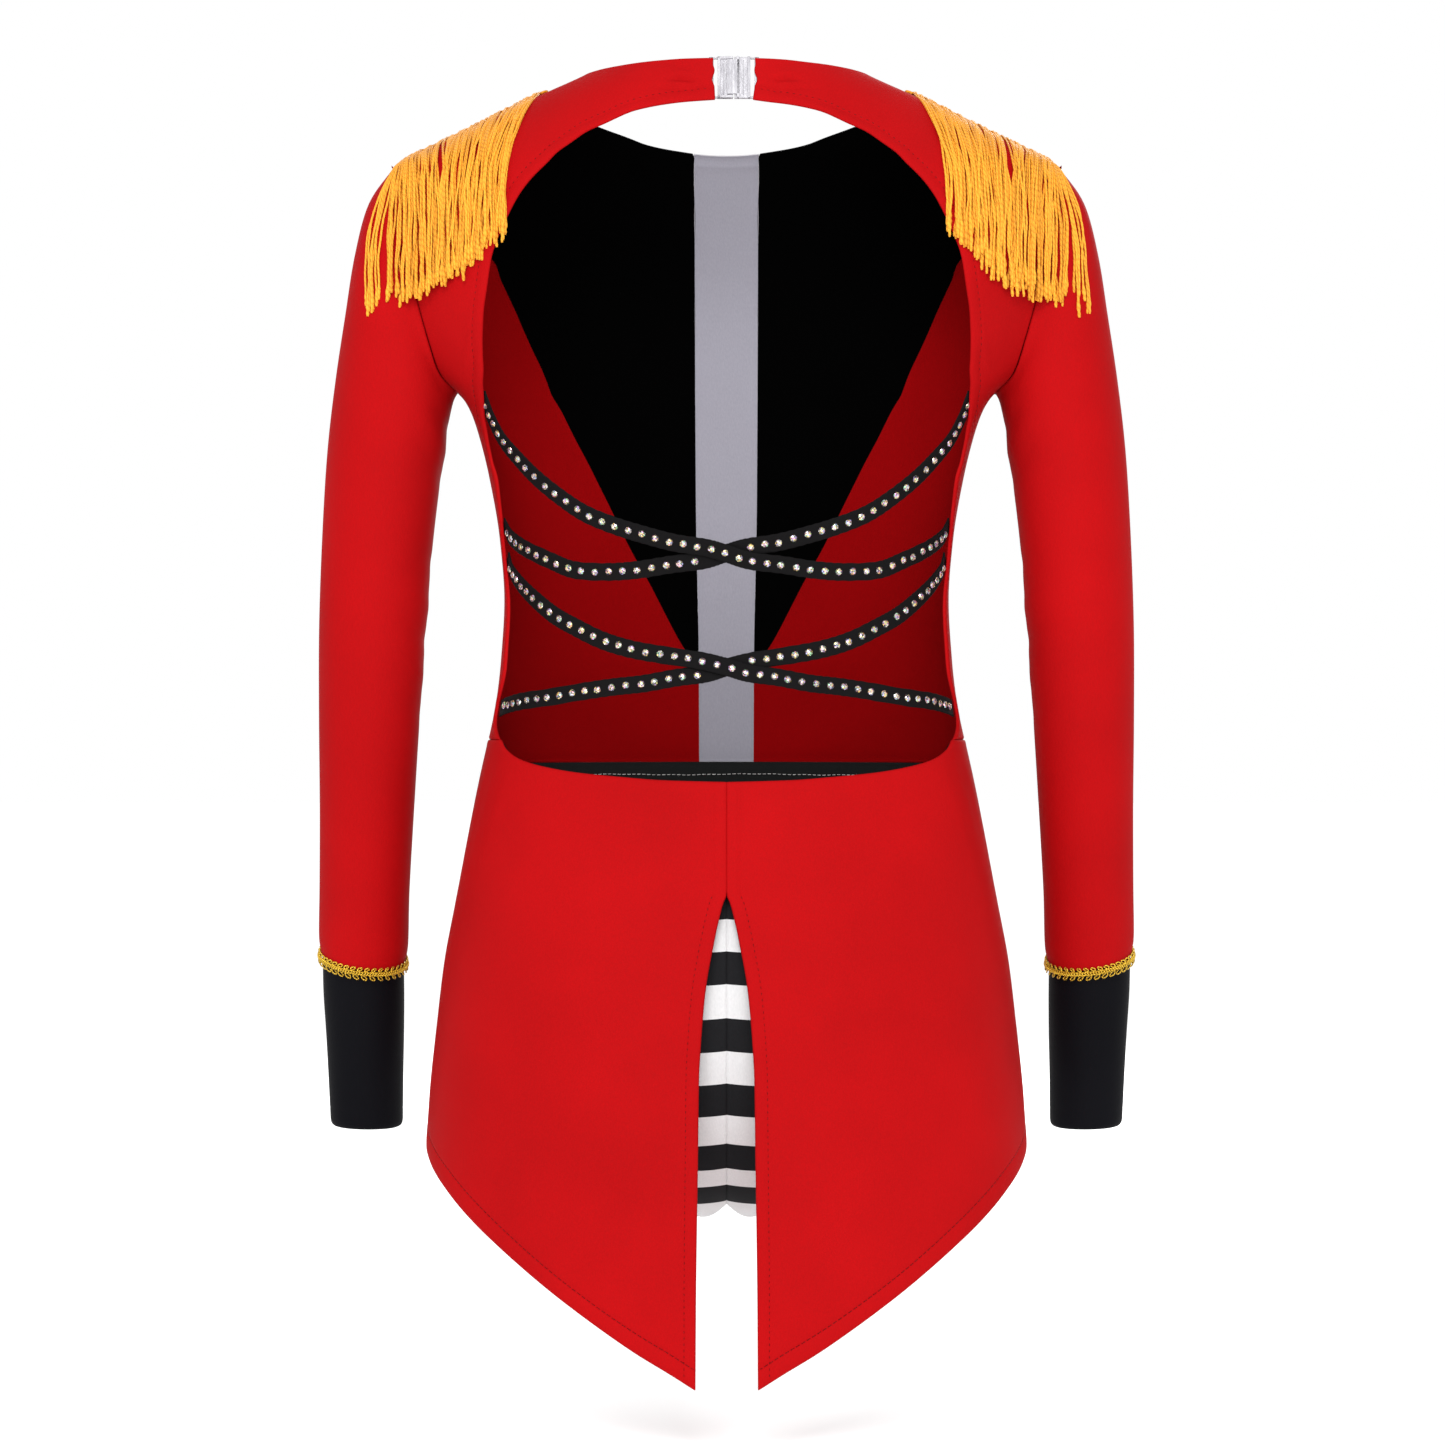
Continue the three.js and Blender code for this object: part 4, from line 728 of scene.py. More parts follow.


# The red, black and white inside knits are darker copies of the outer ones for the cloth's inner face:
# painted shade of the shadowed interior.
red = knit("red_knit", (0.355, 0.0022, 0.0034), contrast=0.15)
red_inside_painted_shade = knit("red_knit_inside_painted_shade", (0.225, 0.0012, 0.002), rough=0.9, specular=0.02)
black = knit("black_knit", (0.006, 0.006, 0.007), rough=0.85, specular=0.08)
black_inside_painted_shade = knit("black_knit_inside_painted_shade", (0.0008, 0.0008, 0.0008), rough=0.95, specular=0.0)
white = knit("white_knit", (0.5, 0.495, 0.52), contrast=0.03)
white_inside_painted_shade = knit("white_knit_inside_painted_shade", (0.29, 0.285, 0.33), rough=0.9, contrast=0.03)
cuff_black = knit("cuff_knit", (0.0042, 0.0042, 0.0056), rough=0.6, specular=0.025, contrast=0.2)
stripes = striped("striped_knit", (0.65, 0.65, 0.655), (0.0078, 0.0078, 0.009))
stripes_inside = striped("striped_knit_inside", (0.6, 0.6, 0.61), (0.014, 0.014, 0.015))
band_black = knit("waist_elastic", (0.0115, 0.0125, 0.0125), rough=0.85, specular=0.04, grain=0.5)
strap_black = webbing("strap_webbing", (0.0038, 0.0034, 0.0037))
# The second colour of each thread is painted shade for the grooves of its ply, and the dark end of its tone
# from cord to cord.
red_thread = thread("red_thread", (0.16, 0.0015, 0.0025), (0.08, 0.001, 0.0015), specular=0.1)
black_thread = thread("black_thread", (0.012, 0.012, 0.013), (0.006, 0.006, 0.006), specular=0.2)
white_thread = thread("white_thread", (0.75, 0.75, 0.73), (0.5, 0.5, 0.5), specular=0.2)
fringe_gold = thread("fringe_rayon", (0.78, 0.345, 0.03), (0.46, 0.17, 0.012), rough=0.5,
                     specular=0.12, strength=0.4)
braid_gold = thread("metallic_gimp", (0.76, 0.49, 0.035), (0.12, 0.055, 0.003), rough=0.25,
                    metallic=0.6, specular=0.5)
stone = crystal("coated_stone")
clear = plastic("clear_plastic")


# Cloth pieces.
def ruled(first, second, columns):
    """Grid of straight rows from each point of one line to its partner on the other."""
    t = np.linspace(0, 1, columns + 1)[None, :, None]
    return first[:, None, :] * (1 - t) + second[:, None, :] * t


def line_on(surface, places):
    """Points in space of a line on the left half, given as drawn on the plane y = 0."""
    at = place(surface, [p[0] for p in places], [p[1] for p in places])
    return surface(at[:, 0], at[:, 1])


ROWS_EACH = 5
SIDES = ("left", "right")
BAND_END = {"left": 6.4, "right": 13.8}
BAND_WAVES = 3.4
# Folds of the back: points as seen (from the band's end, or from the middle), width and height.
BAND_FOLDS = [
    ([(10.5, 14), (11.5, 9), (10.8, 3)], 1.7, -1.2),
    ([(11.5, 10.4), (16, 10.8), (23, 11.6)], 1.2, -1.3),
    ([(11.8, 12), (15, 14.2), (21, 15)], 1.2, 0.8),
    ([(12, 8.8), (16, 8.6), (22, 8.8)], 1.3, 0.8),
    ([(2, 8), (6, 7.4), (10, 8)], 1.3, -0.7),
    ([(13, 5.5), (20, 6.4), (33, 6.6)], 1.6, -0.7),
    ([(13, 17), (22, 19), (36, 17.6)], 1.6, -0.6),
]
BACK_FOLDS = [
    ([(134, -143), (128, -134), (124.5, -120)], 2.2, -0.5),
    ([(131, -136), (129, -122), (127, -108)], 2.6, 0.35),
    ([(116, -196), (118, -178), (121, -166)], 1.8, 0.25),
]
# Folds of other pieces: points as angle and height on the surface, width and height.
FRONT_FOLDS = [
    ([(-14, -160), (-24, -150), (-34, -132)], 3, -0.6),
    ([(-13, -172), (-22, -168), (-30, -158)], 3, 0.5),
]
TAIL_FOLDS = [
    ([(84, -352), (80, -368), (74, -392)], 4, -0.3), ([(20, -326), (16, -345), (14, -372)], 4, -0.45),
    ([(30, -332), (27, -352), (24, -385)], 5, 0.35), ([(-4, -326), (-2, -350), (2, -390)], 5, -0.4),
]


def folds_on(surface, rows):
    return [(surface(*np.array(line, float).T), width, height) for line, width, height in rows]


def back_edges(end_x):
    """Edge of the open back and the panel's other edge, as angles and heights, row by row."""
    inner = place(torso, [r[0] for r in BACK_ROWS], [r[1] for r in BACK_ROWS])
    end = place(torso, [end_x], [1])
    top_angle = angle_at(torso, np.array(end_x), np.array(NECK_BACK), False)
    inner = spline(np.concatenate([inner, end]), ROWS_EACH)
    outer = []
    kinds = [(r[2], r[3]) for r in BACK_ROWS] + [("end", 0)]

    def other(kind, value):
        if kind == "side":
            return np.array([SIDE_SEAM, value])
        if kind == "arm":
            return armhole(value)
        if kind == "ridge":
            return np.array([0, value])
        if kind == "neck":
            return neck_back(value)
        return np.array([float(top_angle), NECK_BACK])

    for (k0, v0), (k1, v1) in zip(kinds, kinds[1:]):
        for t in np.arange(ROWS_EACH) / ROWS_EACH:
            if k0 == k1:
                outer.append(other(k0, v0 + (v1 - v0) * t))
            else:
                outer.append(other(k0, v0) * (1 - t) + other(k1, v1) * t)
    outer.append(other(*kinds[-1]))
    return inner, np.array(outer)


def back_side(side, end_x):
    inner, outer = back_edges(end_x)
    flat = ruled(inner, outer, 60)
    points = torso(flat[..., 0], flat[..., 1])
    grid, lift = finish_grid(points, HEMMED, SEAMED, 30, SEAMED, BARE, 150)
    wave = np.sin(np.linspace(0, 1, grid.shape[1]) * BAND_WAVES * math.pi + 0.5)
    for row, swing in ((-1, 0.5), (-2, 0.42), (-3, 0.3), (-4, 0.15)):
        grid[row, :, 0] += swing * wave
    folds = [([(x + end_x, z) for x, z in line], w, h) for line, w, h in BAND_FOLDS] + BACK_FOLDS
    creases = [(line_on(torso, line), w, h) for line, w, h in folds]
    return shell(f"back_cloth_{side}", f"back_side_{side}", grid, lift,
                 [red, red_inside_painted_shade], creases=creases, right=side == "right")


backs = {side: back_side(side, BAND_END[side]) for side in SIDES}

neck_rows = place(torso, [r[0] for r in FRONT_NECK], [r[1] for r in FRONT_NECK], True)
strip_top = neck_rows[1][1]
vee_seen = place(torso, [r[0] for r in VEE_SEAM], [r[1] for r in VEE_SEAM], True)
vee_seam = np.concatenate([vee_seen, VEE_TURN, [[0, VEE_RIDGE]]])
vee_neck = np.concatenate([neck_rows[2:], FRONT_NECK_TURN, [[0, NECK_CORNER]]])
strip_rows = len(vee_seam) - len(vee_neck)
vee_bottom = vee_seam[0][1]
strip_part = strip_edge(np.linspace(vee_bottom, strip_top, strip_rows))
vee_seam[0][0] = max(vee_seam[0][0], strip_part[0][0] + VEE_POINT)
vee_inner = np.concatenate([strip_part, vee_neck])
fronts = {}

# White strip in front.
STRIP_COLUMNS = 17
heights = np.linspace(WAIST_FRONT, strip_top, 101)
edge = strip_edge(heights)[:, 0]
t = np.linspace(0, 1, STRIP_COLUMNS)
centre_angles = edge[:, None] * (1 - t) + (-180 - edge[:, None]) * t
centre_heights = np.repeat(heights[:, None], STRIP_COLUMNS, 1)
bow = 1 - (2 * t - 1) ** 2
near_neck = smooth((heights - heights[-12]) / (heights[-1] - heights[-12]))
centre_heights += (neck_rows[0][1] - strip_top) * bow * near_neck[:, None]
points = torso(centre_angles, centre_heights)
grid, lift = finish_grid(points, SEAMED, SEAMED, 10, SEAMED, HEMMED, 90)
fronts["centre"] = shell("front_strip", "front_centre", grid, lift,
                         [white, white_inside_painted_shade])

# Black vee panels and red side panels in front.
vee_inner_fine = spline(vee_inner, ROWS_EACH, strip_rows - 1)
vee_seam_fine = spline(vee_seam, ROWS_EACH)
share = np.arange(25) / 25
t = np.linspace(0, 1, 61)
edge = strip_edge(WAIST_FRONT + (vee_bottom - WAIST_FRONT) * share)[:, :1]
angles = edge + (SIDE_SEAM - edge) * t
above = vee_bottom + (SIDE_LOW - vee_bottom) * t
heights = waist(angles) + (above - waist(angles)) * share[:, None]
lower_side = np.stack([angles, heights], -1)
arm_rows = RING // 2
side_rows = len(vee_seam) - 1 - arm_rows
u = np.arange(len(vee_seam_fine)) / ROWS_EACH
low_end = armhole(ARM_LOW)[1]
level = SIDE_LOW + (low_end - SIDE_LOW) * u / side_rows
level = np.stack([np.full(len(u), SIDE_SEAM), level], -1)
turned = armhole(180 + (u - side_rows) * ARM_STEP)
join = np.clip(u - side_rows, 0, 1)[:, None]
upper_outer = np.where((u <= side_rows)[:, None], level, turned)
between = (u > side_rows) & (u < side_rows + 1)
upper_outer[between] = (level[u == side_rows] * (1 - join[between])
                        + armhole(180 + ARM_STEP) * join[between])
for side in SIDES:
    right = side == "right"
    flat = ruled(vee_inner_fine, vee_seam_fine, 50)
    points = torso(flat[..., 0], flat[..., 1])
    grid, lift = finish_grid(points, SEAMED, SEAMED, 26, BARE, SEAMED, 110)
    fronts["vee_" + side] = shell(f"front_vee_cloth_{side}", f"front_vee_{side}",
                                  grid, lift, [black, black_inside_painted_shade], right=right)
    flat = np.concatenate([lower_side, ruled(vee_seam_fine, upper_outer, 60)])
    points = torso(flat[..., 0], flat[..., 1])
    grid, lift = finish_grid(points, SEAMED, SEAMED, 34, SEAMED, SEAMED, 120)
    fronts["side_" + side] = shell(f"front_side_cloth_{side}", f"front_side_{side}",
                                   grid, lift, [red, red_inside_painted_shade], right=right,
                                   creases=folds_on(torso, FRONT_FOLDS))

# Sleeves and cuffs.
AROUND = 64
TURNS = np.arange(AROUND) / AROUND * 360


def ring_of(row, radial=0.0, turns=TURNS):
    """Points of a sleeve's ring on the left arm."""
    axis = np.array([row["ox"] - row["ix"], 0, row["oz"] - row["iz"]])
    reach = np.linalg.norm(axis)
    axis = axis / reach
    c, s = (power(f(np.radians(turns)), 2 / row["square"]) for f in (np.cos, np.sin))
    spread = (reach / 2 + radial) * c
    deep = (row["depth"] + radial) * s
    tilt = math.radians(row["tilt"])
    p = np.stack([
        (row["ox"] + row["ix"]) / 2 + axis[0] * spread,
        row["shift"] - deep * math.cos(tilt),
        (row["oz"] + row["iz"]) / 2 + axis[2] * spread - deep * math.sin(tilt),
    ], -1)
    if row["arm"]:
        p = p + arm_loop(turns) * row["arm"]
    return mirrored(p)


def arm_loop(turns):
    """How far the armhole's loop stands off a plain ring of its own size."""
    top, bottom = armhole(0), armhole(180)
    plain = dict(ox=-torso(0, top[1])[0], oz=top[1], ix=-torso(0, bottom[1])[0], iz=bottom[1],
                 shift=0, depth=SLEEVE["depth"][0], tilt=0, square=ARM_SQUARE, arm=0)
    at = armhole(turns)
    p = torso(at[:, 0], at[:, 1])
    return (p - ring_of(plain, 0.0, turns)) * [-1, 1, 1]


def row_of(rows, i):
    """Row i of a table, by the names of its columns."""
    return {k: v[i] for k, v in rows.items()}


def tube_grid(rings, profile_top, profile_bottom, rows):
    """Rings set at even lengths, with both ends shaped by profiles. Returns grid and lift."""
    fine = spline(np.array(rings), 8)
    (near, first), (far, last) = zip(*profile_top), zip(*profile_bottom)
    grid = respace(fine.transpose(1, 0, 2), near, far, rows).transpose(1, 0, 2)
    down = np.array([*first, *[0] * (rows - 1), *last[::-1]])
    return grid, np.repeat(down[:, None], AROUND, 1)


at = armhole(TURNS)
loop = torso(at[:, 0], at[:, 1])
sleeve_rings = [loop] + [ring_of(row_of(SLEEVE, i)) for i in range(len(SLEEVE["ox"]))]
cuff_rings = [ring_of(row_of(CUFF, i)) for i in range(len(CUFF["ox"]))]
CUFF_END = [(0, -2.6), (0.5, -1.5), (1.2, -0.75), (2.4, -0.2), (4, 0), (9, 0), (9.9, -0.08),
            (10.8, 0)]
# Folds inside the elbow and under the arm: level on the sleeve, and how far the fold stands up.
ELBOW_FOLDS = [(-232, -0.5), (-254, 0.5), (-270, -0.7), (-288, 0.5), (-306, -0.45)]
ARM_FOLDS = [(-158, -0.6), (-170, 0.5), (-184, -0.5)]
LONG_FOLDS = [
    ([[-166, -40, -60], [-160, -40, -90], [-152, -36, -118]], 6, -0.4),
    ([[-196, -18, -240], [-199, -22, -300], [-198, -10, -350]], 7, 0.4),
]


def sleeve_folds():
    """Soft troughs and ridges inside the elbow, under the arm and along the left sleeve."""
    lines = [([[-153, 20, z - 4], [-149, 2, z], [-154, -16, z + 5], [-164, -28, z + 9]], 4.5, lift)
             for z, lift in ELBOW_FOLDS]
    lines += [([[-140, 18, z - 8], [-140, 0, z - 6], [-143, -22, z], [-156, -34, z + 14]], 4, lift)
              for z, lift in ARM_FOLDS]
    return [(np.array(line, float), width, lift) for line, width, lift in lines + LONG_FOLDS]


sleeves = {}
for side in SIDES:
    right = side == "right"
    grid, lift = tube_grid(sleeve_rings, SEAMED, SEAMED, 130)
    sleeves[side] = shell(f"sleeve_cloth_{side}", f"sleeve_{side}", grid, lift,
                          [red, red_inside_painted_shade], closed=True, creases=sleeve_folds(), right=right)
    grid, lift = tube_grid(cuff_rings, SEAMED, CUFF_END, 44)
    sleeves["cuff_" + side] = shell(f"cuff_cloth_{side}", f"cuff_{side}", grid, lift,
                                    [cuff_black, black], closed=True, right=right)


# Coat tails.
def tails(side):
    """Half of the coat tails, on the left, then mirrored."""
    order = np.linspace(0, len(TAIL_COLUMNS) - 1, 141)
    angles = np.interp(order, np.arange(len(TAIL_COLUMNS)), TAIL_COLUMNS)
    share = np.linspace(0, 1, 121)
    top = waist(angles) - SEAM
    fade = (1 - order / (len(TAIL_COLUMNS) - 1)) ** VENT_FADE
    bottom = along(HEM, "angle", angles - VENT_AT_HEM * fade, "z")
    z = top[None, :] * (1 - share[:, None]) + bottom[None, :] * share[:, None]
    half = along(VENT, "z", z, "half")
    vent = 90 - angle_at(tail, half + SEAM / 4, z, False)
    angle = angles[None, :] - vent * fade[None, :]
    points = tail(angle, z)
    hang = smooth((-345 - z) / 260)
    turned = np.radians(angle)
    sway = 1.1 * np.sin(turned * 5.2 + 0.7) + 0.6 * np.sin(turned * 9.1 + z * 0.006)
    sway += 0.45 * np.sin(z * 0.1 + turned * 2.2)
    flat = smooth((88 - angle) / 14)
    points = points + normals_of(points) * (sway * hang * flat)[..., None]
    grid, lift = finish_grid(points, TOPSTITCHED, HEMMED, 90, TURNED, DEEP_HEM, 100)
    creases = folds_on(tail, TAIL_FOLDS)
    return shell(f"tail_cloth_{side}", f"tail_{side}", grid, lift,
                 [red, red_inside_painted_shade], creases=creases, right=side == "right")


tail_pieces = {side: tails(side) for side in SIDES}


# Brief.
def brief_grid(rows, front, count):
    """Rows of arcs from the centre to the side and leg edges, left half."""
    turns = np.linspace(0, 90, count + 1)
    share = turns / 90
    angle = -90 + share * (90 + SIDE_SEAM) if front else 90 - share * (90 - SIDE_SEAM)
    out = []
    tucked = 0 if front else BRIEF_TUCK * np.exp(-((angle - BRIEF_TUCK_AT) / BRIEF_TUCK_WIDTH) ** 4)
    for drop in (0, 13):
        z = waist(angle) - SEAM - np.maximum(drop, tucked)
        out.append(torso(angle, z) - normal_of(torso, angle, z) * BRIEF_INSET)
    for cy, cz, ex, ey, ez, arc, lift in rows:
        t = np.radians(turns / 90 * arc)
        a = math.radians(arc)
        s = (np.cos(t) - math.cos(a)) / (1 - math.cos(a))
        x = ex * np.sin(t) / math.sin(a)
        notch = SEAM_LIFT * lift * np.exp(-(x / SEAM_LIFT_WIDTH) ** SEAM_LIFT_POWER)
        out.append(np.stack([-x, ey + (cy - ey) * s, ez + (cz - ez) * s + notch], -1))
    return np.array(out)


def stripe_count(points):
    """Stripes counted down the cloth: odd numbers are black. They dip away from the seam."""
    z, x = points[:, 2], np.abs(points[:, 0])
    low = np.clip((-380 - z) / 150, 0, 1)
    z = z + (0.9 + 1.6 * low) * (1 - np.exp(-x / 14))
    marks = np.array(STRIPES)
    count = np.interp(-z, -marks, np.arange(len(marks)) + 2)
    above = z > marks[0]
    count[above] = 2 - (z[above] - marks[0]) / STRIPE_ABOVE
    below = z < marks[-1]
    count[below] = len(marks) + 1 + (marks[-1] - z[below]) / STRIPE_BELOW
    return count


def with_stripes(obj):
    """Adds the attribute stripe to every point of a piece of the brief."""
    n = len(obj.data.vertices)
    co = np.empty(n * 3)
    obj.data.vertices.foreach_get("co", co)
    attribute(obj, "stripe", stripe_count(co.reshape(-1, 3) * 1000))


def outward(points, inside):
    """Normals of a grid, facing away from a point inside."""
    n = np.cross(np.gradient(points, axis=1), np.gradient(points, axis=0))
    n /= np.maximum(np.linalg.norm(n, axis=2, keepdims=True), 1e-9)
    return -n if np.sum(n * (points - inside)) < 0 else n


def brief_piece(key, name, node, points, count, edges):
    """Piece of the brief, with edges shaped at its first and last column, top and bottom."""
    first, last, top, bottom = edges
    grid, lift = finish_grid(points, first, last, count, top, bottom, 90)
    if key == "right":
        grid = mirrored(grid)
    briefs[key] = shell(name, node, grid, lift, [stripes, stripes_inside],
                        normals=outward(grid, [0, 0, BRIEF_MIDDLE]))
    with_stripes(briefs[key][0])


briefs = {}
half = spline(brief_grid(BRIEF_BACK, False, 60), 8)
for side in SIDES:
    brief_piece(side, f"brief_back_cloth_{side}", f"brief_back_{side}", half, 50,
                (SEAMED, BARE, HEMMED, SEAMED))
front_half = spline(brief_grid(BRIEF_FRONT, True, 50), 8)
whole = np.concatenate([front_half[:, :0:-1], mirrored(front_half)], 1)
brief_piece("front", "brief_front_cloth", "brief_front", whole, 110,
            (BARE, BARE, SEAMED, SEAMED))

# Waist band.
band_half = []
angles = np.linspace(-90, SIDE_SEAM, 60)
for drop in np.linspace(0, BAND_HEIGHT, 12):
    z = waist(angles) - SEAM - drop
    inset = BRIEF_INSET + CLOTH + SEAM + 0.3
    band_half.append(torso(angles, z) - normal_of(torso, angles, z) * inset)
band_half = np.array(band_half)
band_grid = np.concatenate([band_half[:, :0:-1], mirrored(band_half)], 1)
grid, lift = finish_grid(band_grid, BARE, BARE, 120, BARE, BARE, 12)
band = shell("waist_elastic_band", "waist_band", grid, lift, [band_black, band_black],
             thick=1.0, normals=outward(grid, [0, 0, -340]))


# Straps with stones.
def strap_path(places, deeper):
    """Centre line and outward normals of a strap, spline through its table."""
    points, normals = [], []
    for sx, sz in places:
        at = place(torso, np.array([abs(sx)]), np.array([sz]))[0]
        p, n = torso(at[0], at[1]), normal_of(torso, at[0], at[1])
        if sx > 0:
            p, n = p * [-1, 1, 1], n * [-1, 1, 1]
        depth = STRAP_DEPTH + deeper * math.exp(-(sx / STRAP_STEP_WIDTH) ** 2)
        points.append(p - n * depth)
        normals.append(n)
    points, normals = np.array(points), np.array(normals)
    for end, beyond in ((0, 1), (-1, -2)):
        d = points[end] - points[beyond]
        tuck = points[end] + d / np.linalg.norm(d) * STRAP_TUCK - normals[end] * 0.2
        where = 0 if end == 0 else len(points)
        points = np.insert(points, where, tuck, 0)
        normals = np.insert(normals, where, normals[end], 0)
    fine, normals = spline(points, 12), spline(normals, 12)
    return fine, normals / np.linalg.norm(normals, axis=1, keepdims=True)


def strap(name, places, deeper):
    """Ribbed webbing along a strap's line. Returns its path, normals, run and width."""
    path, n = strap_path(places, deeper)
    run = np.gradient(path, axis=0)
    run /= np.linalg.norm(run, axis=1, keepdims=True)
    wide = np.cross(run, n)
    wide /= np.linalg.norm(wide, axis=1, keepdims=True)
    across = np.array([-1, -0.96, -0.85, -0.6, -0.3, 0, 0.3, 0.6, 0.85, 0.96]) * WEBBING_WIDTH / 2
    across = np.append(across, WEBBING_WIDTH / 2)
    h = WEBBING_THICK / 2
    top = h * np.array([0.1, 0.7, 1, 0.86, 0.96, 0.88, 0.96, 0.86, 1, 0.7, 0.1])
    section_points = [*zip(across, top), *zip(across[::-1], -top[::-1])]
    size = len(section_points)
    length = steps_of(path)
    edge_wave = EDGE_WAVE * np.sin(length * 2 * math.pi / EDGE_WAVE_PITCH)
    points, ax, al = [], [], []
    for i in range(len(path)):
        for w, t in section_points:
            w2 = w + np.sign(w) * (edge_wave[i] if abs(w) > 4 else 0)
            points.append(path[i] + wide[i] * w2 + n[i] * t)
            ax.append(w)
            al.append(length[i])
    faces = [f[::-1] for f in tube_faces(len(path), size)]
    obj = make(name + "_webbing", points, faces, [strap_black])
    attribute(obj, "across", ax)
    attribute(obj, "along", al)
    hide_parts(name)
    return path, n, run, wide


STONE_RADIUS = 1.8
STONE_TOP = 0.98
STONE_SIDES = 8
STONE_RINGS = [(0.42, 0.92), (0.78, 0.66), (1.0, 0.24), (1.0, 0.0)]
STONE_PITCH = 5.0
STONE_PITCH_MORE = 2.1
STONE_FIRST = 7.0
STONE_LAST = 6.5
COVERED_HALF = 9
# Facet colours: pastel coating colours, and greys and near-black that are painted reflections of dark
# surroundings.
TINTS_AND_REFLECTIONS = [
    (0.88, 0.8, 0.66), (0.95, 0.66, 0.22), (0.85, 0.38, 0.45), (0.4, 0.8, 0.45), (0.5, 0.52, 0.9),
    (0.98, 0.96, 0.9), (0.92, 0.8, 0.32), (0.6, 0.35, 0.7), (0.2, 0.2, 0.2), (0.05, 0.05, 0.06),
]


def stone_mesh(centre, n, run, wide, turn, dice):
    """Flat-backed stone: table, two rings of facets and a girdle."""
    points = [centre + n * STONE_TOP]
    count = STONE_SIDES
    for ring, (radius, up) in enumerate(STONE_RINGS):
        for k in range(count):
            a = (k + 0.5 * (ring % 2)) / count * 2 * math.pi + turn
            away = run * math.cos(a) + wide * math.sin(a)
            points.append(centre + away * radius * STONE_RADIUS + n * up)
    faces, tints_and_reflections = [], []

    def add(face, pale=False):
        faces.append(face)
        # Each facet takes a coating colour scaled darker or paler: dark facets are painted reflections, and
        # the table's paler facets painted glints.
        tint_and_reflection = np.array(TINTS_AND_REFLECTIONS[dice.integers(len(TINTS_AND_REFLECTIONS))])
        tints_and_reflections.append(tint_and_reflection * dice.uniform(0.7 if pale else 0.2, 1.05))

    for k in range(count):
        add((0, 1 + k, 1 + (k + 1) % count), True)
    for ring in range(3):
        a, b = 1 + ring * count, 1 + (ring + 1) * count
        for k in range(count):
            a0, a1, b0, b1 = a + k, a + (k + 1) % count, b + k, b + (k + 1) % count
            for face in (((a0, b0, a1), (a1, b0, b1)), ((a0, b0, b1), (a0, b1, a1)),
                         ((a0, b0, b1, a1),))[ring]:
                add(face)
    return np.array(points), faces, tints_and_reflections


def stones(name, path, n, run, wide, dice, covered):
    """Stones along a strap, closer near its ends, none where another strap covers it."""
    length = steps_of(path)
    total = length[-1]
    at, places = STONE_FIRST, []
    while at < total - STONE_LAST:
        places.append(at + dice.uniform(-0.25, 0.25))
        from_end = min(at, total - at)
        at += STONE_PITCH + STONE_PITCH_MORE * float(smooth((from_end - 8) / 45))
        at += dice.uniform(-0.35, 0.35)
    meshes, tints_and_reflections = [], []
    for s in places:
        p = sample(path, [s])[0]
        if covered and abs(p[0]) < COVERED_HALF:
            continue
        i = min(int(np.searchsorted(length, s)), len(path) - 1)
        side = dice.uniform(-0.35, 0.35)
        top = p + n[i] * (WEBBING_THICK / 2 * 0.9) + wide[i] * side
        *mesh, colours = stone_mesh(top, n[i], run[i], wide[i], dice.uniform(0, 1), dice)
        meshes.append(mesh)
        tints_and_reflections += colours
    points, faces = joined(meshes)
    a, b, c = points[list(faces[0])]
    if np.dot(np.cross(b - a, c - a), n[0]) < 0:
        faces = [f[::-1] for f in faces]
    obj = make(name, points, faces, [stone], flat=True)
    made = obj.data.attributes.new("tint_and_reflection", "FLOAT_COLOR", "CORNER")
    values = []
    for face, tint_and_reflection in zip(faces, tints_and_reflections):
        values += [*np.clip(tint_and_reflection, 0, 1), 1.0] * len(face)
    made.data.foreach_set("color", np.array(values, np.float32))
    return obj


dice_start = 40
for level, places in (("high", STRAP_HIGH), ("low", STRAP_LOW)):
    for side in SIDES:
        right = side == "right"
        name = f"strap_{level}_{side}"
        seen = [(-sx, sz) for sx, sz in places] if right else places
        lines = strap(name, seen, STRAP_STEP if right else 0)
        stones(name + "_stones", *lines, np.random.default_rng(dice_start), right)
        dice_start += 1


# Clasp, and the width in metres of its rounded edges.
CLASP_EDGE = 0.00022


def slab(x0, x1, y0, y1, z0, z1):
    """Points and faces of a block."""
    corners = ((x0, y0), (x1, y0), (x1, y1), (x0, y1))
    points = np.array([(x, y, z) for z in (z0, z1) for x, y in corners], float)
    sides = [(k, (k + 1) % 4, 4 + (k + 1) % 4, 4 + k) for k in range(4)]
    return points, [(3, 2, 1, 0), (4, 5, 6, 7)] + sides


